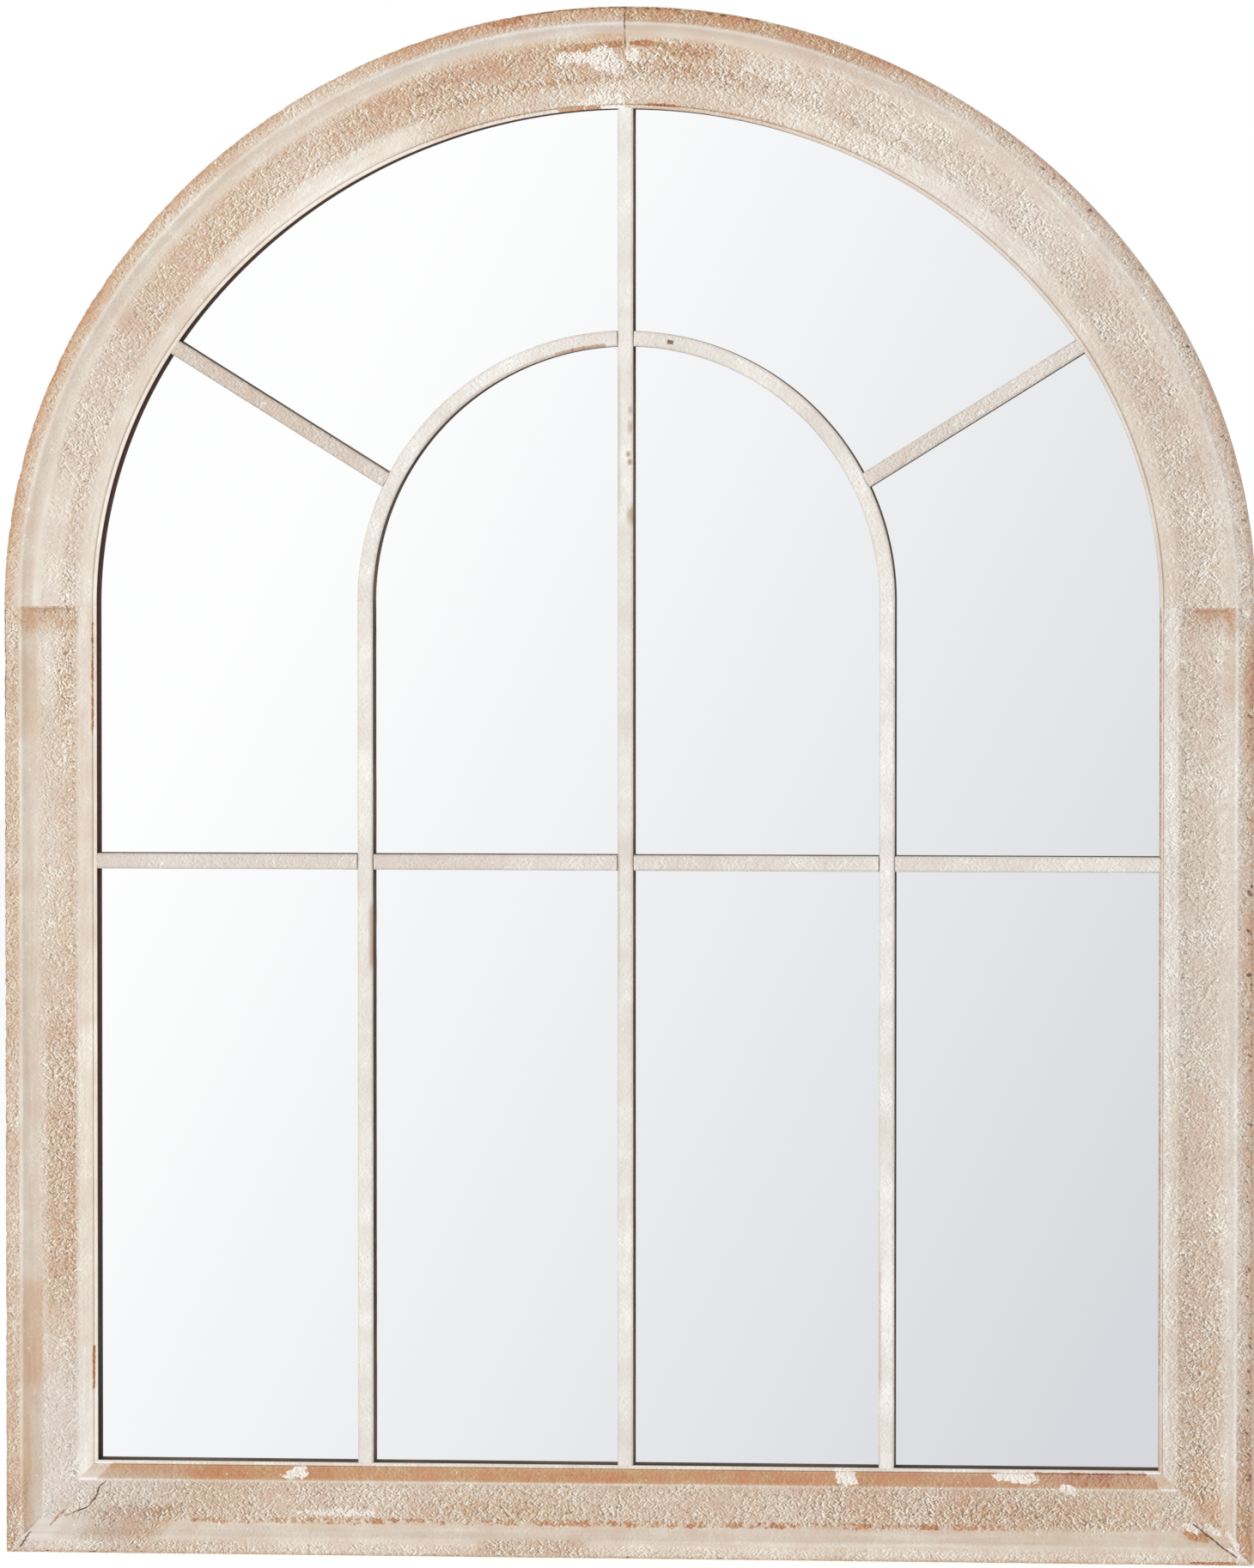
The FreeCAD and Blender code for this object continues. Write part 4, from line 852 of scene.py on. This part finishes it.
class Finish:
    """The shader nodes of a material, or of the world, while they are being built."""

    def __init__(self, name, kind="materials"):
        self.block = getattr(bpy.data, kind).new(name)
        self.block.use_nodes = True
        self.tree = self.block.node_tree
        self.tree.nodes.clear()

    def node(self, kind, settings=None, inputs=None, out=0):
        """Adds a node: its settings first, then the values or links of its sockets."""
        made = self.tree.nodes.new("ShaderNode" + kind)
        for key, value in (settings or {}).items():
            if key == "stops":
                ramp = made.color_ramp
                while len(ramp.elements) < len(value):
                    ramp.elements.new(0.5)
                for element, (position, colour) in zip(ramp.elements, value):
                    element.position = position
                    element.color = colour
            else:
                setattr(made, key, value)
        for key, value in (inputs or {}).items():
            if isinstance(value, Value):
                self.tree.links.new(value.socket, made.inputs[key])
            else:
                made.inputs[key].default_value = value
        return Value(self, made.outputs[out]) if made.outputs else None

    def place(self):
        """Object coordinates, in metres."""
        return self.node("TexCoord", out="Object")

    def attribute(self, name):
        return self.node("Attribute", {"attribute_type": "GEOMETRY", "attribute_name": name}, None, "Fac")

    def grain(self, place, scale, detail, roughness=0.5, distortion=0.0):
        """Noise with cells of 1/scale metres, 0 to 1 about 0.5."""
        return self.node("TexNoise", None, {"Vector": place, "Scale": scale, "Detail": detail,
                                            "Roughness": roughness, "Distortion": distortion}, "Fac")

    def highest(self, first, second):
        return self.node("Math", {"operation": "MAXIMUM"}, {0: first, 1: second})

    def combined(self, x, y, z=0.0):
        """Coordinates made of single values."""
        return self.node("CombineXYZ", None, {0: x, 1: y, 2: z})

    def stretched(self, place, scale, move=(0, 0, 0)):
        """Coordinates scaled by axis and moved, for streaks and for a fresh pattern."""
        return self.node("Mapping", None, {"Vector": place, "Scale": scale, "Location": move})

    def rise(self, value, low, high):
        """0 below low and 1 above high, smooth between; high may lie below low."""
        return self.node("MapRange", {"interpolation_type": "SMOOTHSTEP"},
                         {"Value": value, "From Min": low, "From Max": high})

    def mix(self, mask, under, over):
        """Colour over laid on colour under where the mask is 1."""
        return self.node("Mix", {"data_type": "RGBA"}, {0: mask, 6: under, 7: over}, 2)

    def bump(self, height, distance, strength=1.0):
        """A normal for a height of 0 to 1 that stands for a distance in metres."""
        return self.node("Bump", None, {"Height": height, "Distance": distance, "Strength": strength})

    def done(self, **sockets):
        """Puts the values on a Principled shader and that on the output."""
        inputs = {name.replace("_", " "): value for name, value in sockets.items()}
        return self.output("OutputMaterial", self.node("BsdfPrincipled", None, inputs))

    def output(self, kind, shader):
        """Ends the tree with a shader on the surface and gives the material or world."""
        self.node(kind, None, {"Surface": shader})
        return self.block


def paint(red, green, blue):
    """A colour given as it looks on screen, 0 to 255, in the renderer's own scale."""
    def linear(value):
        share = value / 255
        return share / 12.92 if share <= 0.04045 else ((share + 0.055) / 1.055) ** 2.4
    return (linear(red), linear(green), linear(blue), 1.0)


COAT = [(0.0, paint(132, 84, 56)), (0.237, paint(187, 128, 86)), (0.388, paint(198, 150, 109)),
        (0.533, paint(204, 169, 136)), (0.618, paint(209, 182, 157)), (0.697, paint(213, 193, 172)),
        (0.803, paint(220, 207, 192)), (0.888, paint(229, 220, 208)), (1.0, paint(246, 241, 234))]
BARE = [(0.0, paint(78, 42, 28)), (0.25, paint(62, 52, 40)), (0.5, paint(132, 112, 96)),
        (0.72, paint(190, 150, 108)), (1.0, paint(216, 182, 140))]
# Colour of the painted shade beside each stroke, and of the dark grains in the coat.
STROKE_SHADE_AND_GRAIN = paint(142, 115, 94)
DARK = paint(92, 66, 50)
STROKE_ASIDE = 0.0011  # metres between the two places whose difference paints a stroke's lit and shade side
STROKE_DEPTH_SCALE = 400.0  # how fast the strokes change along Y, per metre
STROKE_EDGES = (0.56, 0.62)  # where a stroke starts and is full
LONG_STROKES = (150.0, 370.0, 0.0)  # cells per metre along and across, and where the noise starts
SHORT_STROKES = (240.0, 560.0, 3.0)
COAT_BUMP = (0.0004, 0.32)  # metres, and strength


def limewash():
    """Lime coat rubbed back over stained timber, brushed on in short diagonal strokes, with painted light and
    shade on the strokes.
    """
    f = Finish("limewash")
    here = f.place()
    run, inset, wall, tone, rough, lime, stain, dark, cool = map(f.attribute, LAYERS)

    def strokes(along, across, move):
        """Short brush strokes along both diagonals: their height, here and a little aside; the difference
        paints each stroke's lit and shade side.
        """
        def dashes(slow, fast, start):
            place = f.combined(slow * along, fast * across, start + y * STROKE_DEPTH_SCALE)
            return f.grain(place, 1.0, 2.0, 0.5, 1.3)

        heights = []
        for aside in (0.0, STROKE_ASIDE):
            up, down = x + z + aside, x - z + aside
            crossed = f.highest(dashes(up, down, move), dashes(down, up, move + 7.0))
            heights.append(f.rise(crossed, *STROKE_EDGES))
        return heights

    x, y, z = (f.node("SeparateXYZ", None, {0: here}, axis) for axis in "XYZ")
    first, first_aside = strokes(*LONG_STROKES)
    second, second_aside = strokes(*SHORT_STROKES)
    relief = 0.6 * first + 0.4 * second
    # lit is painted light and shade: above 0 on one side of a stroke, below 0 on the other.
    lit = 0.65 * (first - first_aside) + 0.45 * (second - second_aside)
    cloud = f.grain(here, 17, 3) - 0.5
    drift = f.grain(f.stretched(here, (1, 1, 1), (3, 1, 2)), 60, 3) - 0.5
    streak = f.grain(f.combined(run * 16.0, inset * 330.0), 1.0, 4, 0.6) - 0.5
    fine = f.grain(here, 1100, 2) - 0.5
    ragged = (f.grain(here, 170, 3, 0.6) - 0.5) + (f.grain(here, 520, 2) - 0.5) * 0.6

    patchy = rough * (1.0 + 2.0 * drift)
    level = (tone + (0.18 + 0.16 * rough) * cloud + 0.22 * drift + streak * (0.28 - 0.18 * rough)
             + 0.1 * fine)
    # The painted highlight side and the painted shade side of the strokes.
    painted_light_side, painted_shade_side = f.highest(lit, 0.0), f.highest(lit * -1.0, 0.0)
    specks = f.grain(f.stretched(here, (1, 1, 1), (2, 8, 5)), 620, 1) - 0.5
    # Painted light on the strokes: lighter on their lit side, darker on the other, and their raised bodies a
    # little lighter, partly as thicker lime and partly as painted highlight.
    level = level + patchy * (0.3 * painted_light_side - 0.2 * painted_shade_side + 0.14 * relief + 0.65 * specks - 0.07)
    stained = f.rise(stain + 1.6 * ragged + 0.5 * streak, 0.46, 0.6)
    # Stained and limed places keep a share of the strokes' painted light and shade.
    level = level * (1 - stained) + stained * (0.34 + 0.7 * drift + 0.3 * lit + 0.2 * specks)
    limed = f.rise(lime + 2.2 * ragged, 0.48, 0.58)
    level = level * (1 - limed) + limed * (0.95 + 0.3 * lit)
    colour = f.node("ValToRGB", {"stops": COAT}, {"Fac": level})
    grains = f.rise(f.grain(f.stretched(here, (1, 1, 1), (5, 1, 3)), 430, 2), 0.62, 0.7)
    # The painted shade beside each stroke and the dark grains are mixed towards this darker colour.
    colour = f.mix(patchy * (0.95 * painted_shade_side + 0.7 * grains), colour, STROKE_SHADE_AND_GRAIN)
    colour = f.node("HueSaturation", None, {"Hue": 0.5 + 0.045 * drift, "Saturation": 0.96 - cool,
                                            "Color": colour})
    teeth = f.grain(f.combined(run * 330.0, inset * 150.0), 1.0, 2) - 0.5
    darkened = f.rise(dark + 1.0 * teeth + 0.9 * ragged, 0.5, 0.66)
    colour = f.mix(0.85 * darkened, colour, DARK)

    timber = f.grain(f.combined(run * 9.0, inset * 420.0), 1.0, 4, 0.65) - 0.5
    bare = f.node("ValToRGB", {"stops": BARE}, {"Fac": tone + timber * 0.5 + 0.3 * fine})
    colour = f.mix(wall, colour, bare)
    height = rough * relief * 0.8 + 0.3 * fine + 0.4 * limed - 0.5 * darkened
    normal = f.bump(height * (1 - wall), *COAT_BUMP)
    return f.done(Base_Color=colour, Roughness=0.8, Specular_IOR_Level=0.12, Normal=normal)


def silvered():
    """Mirror glass."""
    f = Finish("silvered_glass")
    return f.done(Base_Color=(0.98, 0.982, 0.985, 1), Metallic=1.0, Roughness=0.0)


def board(name, deep, pale, scale):
    """Pressed sheet with a fine fibre fleck and slow clouds."""
    f = Finish(name)
    here = f.place()
    fleck = f.grain(here, scale, 3, 0.7)
    cloud = f.rise(f.grain(here, 12, 3), 0.4, 0.7)
    colour = f.mix(f.rise(fleck, 0.35, 0.7), deep, pale)
    colour = f.mix(0.35 * cloud, colour, deep)
    return f.done(Base_Color=colour, Roughness=0.8, Normal=f.bump(fleck, 0.0001))


def zinc():
    """Bright zinc plate, a little cloudy, duller in the clouds, with fine rubbed lines."""
    f = Finish("zinc_plate")
    here = f.place()
    cloud = f.grain(here, 260, 3)
    lines = f.grain(f.stretched(here, (2600, 600, 90)), 1.0, 2)
    colour = f.mix(f.rise(cloud, 0.35, 0.65), paint(150, 152, 154), paint(180, 180, 176))
    return f.done(Base_Color=colour, Metallic=0.95, Roughness=0.2 + 0.16 * cloud + 0.1 * lines,
                  Normal=f.bump(lines, 0.00003, 0.4))


def rubber():
    """Matt grey rubber."""
    f = Finish("rubber_grey")
    fine = f.grain(f.place(), 1500, 2)
    colour = f.mix(fine, paint(44, 44, 45), paint(66, 66, 66))
    return f.done(Base_Color=colour, Roughness=0.75, Normal=f.bump(fine, 0.00005))


def beech():
    """Plain beech with its lines along X."""
    f = Finish("beech")
    lines = f.grain(f.stretched(f.place(), (60, 900, 900)), 1.0, 3)
    colour = f.mix(lines, paint(190, 150, 110), paint(214, 178, 138))
    return f.done(Base_Color=colour, Roughness=0.6)


def dress_nodes(finishes):
    """Gives every CAD node its finish by the record's slot."""
    slots = {row["node"]: row["material_slot"] for row in frame["record"]["subparts"]}
    for name, obj in frame["nodes"].items():
        obj.data.materials.clear()
        obj.data.materials.append(finishes[slots[name]])


# -------- stage, light and camera
FLOOR_GLOW = 0.26
FILL_LIGHT = 0.68  # the white surroundings as a light, against 1 as they are seen
KEY_PLACE = (-1.2, -3.0, 3.2)
KEY_AIM = (0, 0, 0.5)
KEY_SIZE = (2.6, 2.0)
KEY_POWER = 53.5
VIEW_AZIMUTH = math.radians(5.6)
VIEW_ELEVATION = math.radians(2.0)
VIEW_DISTANCE = 6.0
VIEW_MIDDLE = (0, 0, 0.495)
VIEW_HEIGHT = 1.001  # metres seen from top to bottom at that distance


def stage_piece(name, bm, material):
    """Turns a bmesh in metres into a piece that belongs to the stage."""
    obj = mesh_object(name, bm, material)
    return obj


def floor():
    """A pale floor, lit a little from within so that it stays white."""
    f = Finish("pale_floor")
    material = f.done(Base_Color=(0.95, 0.95, 0.95, 1), Roughness=0.9, Emission_Color=(1, 1, 1, 1),
                      Emission_Strength=FLOOR_GLOW)
    bm = bmesh.new()
    bmesh.ops.create_grid(bm, x_segments=1, y_segments=1, size=12.0)
    stage_piece("floor", bm, material).visible_glossy = False


def reflected_card():
    """A soft graded card in front, seen only in the mirror: white on the left, cool grey right."""
    f = Finish("graded_card")
    across, height = (f.node("SeparateXYZ", None, {0: f.place()}, axis) for axis in "XZ")
    shade = 0.7225 + across * 1.0425 - height * 0.527
    colour = f.mix(shade, paint(254, 254, 254), paint(214, 216, 220))
    glow = f.node("Emission", None, {"Color": colour, "Strength": 1.02})
    material = f.output("OutputMaterial", glow)
    bm = bmesh.new()
    bmesh.ops.create_grid(bm, x_segments=1, y_segments=1, size=3.0)
    bmesh.ops.rotate(bm, verts=bm.verts, cent=(0, 0, 0), matrix=Matrix.Rotation(math.pi / 2, 3, "X"))
    bmesh.ops.translate(bm, verts=bm.verts, vec=(0, -1.0, 0.5))
    card = stage_piece("graded_card", bm, material)
    for flag in ("visible_camera", "visible_diffuse", "visible_shadow", "visible_transmission"):
        setattr(card, flag, False)


def key_light():
    """A large soft lamp from the upper left."""
    data = bpy.data.lights.new("key", "AREA")
    data.shape = "RECTANGLE"
    data.size, data.size_y = KEY_SIZE
    data.energy = KEY_POWER
    obj = linked("key", data)
    obj.location = KEY_PLACE
    obj.rotation_euler = (Vector(KEY_AIM) - Vector(KEY_PLACE)).to_track_quat("-Z", "Y").to_euler()


def world():
    """White all round, dimmer as a light than as the camera and the glass see it."""
    f = Finish("studio", "worlds")
    seen = f.highest(f.node("LightPath", out="Is Camera Ray"), f.node("LightPath", out="Is Glossy Ray"))
    strength = f.node("MapRange", None, {"Value": seen, "To Min": FILL_LIGHT, "To Max": 1.0})
    glow = f.node("Background", None, {"Color": (1, 1, 1, 1), "Strength": strength})
    bpy.context.scene.world = f.output("OutputWorld", glow)


def camera():
    """A long lens, a little to the right of the middle and a little above it."""
    flat = math.cos(VIEW_ELEVATION)
    away = Vector((math.sin(VIEW_AZIMUTH) * flat, -math.cos(VIEW_AZIMUTH) * flat,
                   math.sin(VIEW_ELEVATION)))
    data = bpy.data.cameras.new("camera")
    data.sensor_fit = "VERTICAL"
    data.sensor_height = 24.0
    data.lens = data.sensor_height * VIEW_DISTANCE / VIEW_HEIGHT
    data.clip_end = 100.0
    obj = linked("camera", data)
    obj.location = Vector(VIEW_MIDDLE) + away * VIEW_DISTANCE
    obj.rotation_euler = (-away).to_track_quat("-Z", "Y").to_euler()
    bpy.context.scene.camera = obj


lime = limewash()
finishes = {"limewashed_wood": lime, "silvered_glass": silvered(), "dowel_beech": beech(),
            "backboard_mdf": board("fibreboard", paint(122, 92, 66), paint(158, 124, 92), 900),
            "cushion_paper": board("cushion", paint(206, 204, 198), paint(232, 230, 224), 400),
            "zinc_steel": zinc(), "grey_rubber": rubber()}
dress_nodes(finishes)
frame_members(lime)
glazing_bars(lime)
hanging_screws(finishes["zinc_steel"])
mitre_nails(finishes["zinc_steel"])
floor()
reflected_card()
key_light()
world()
camera()
bpy.context.scene.view_settings.view_transform = "Standard"
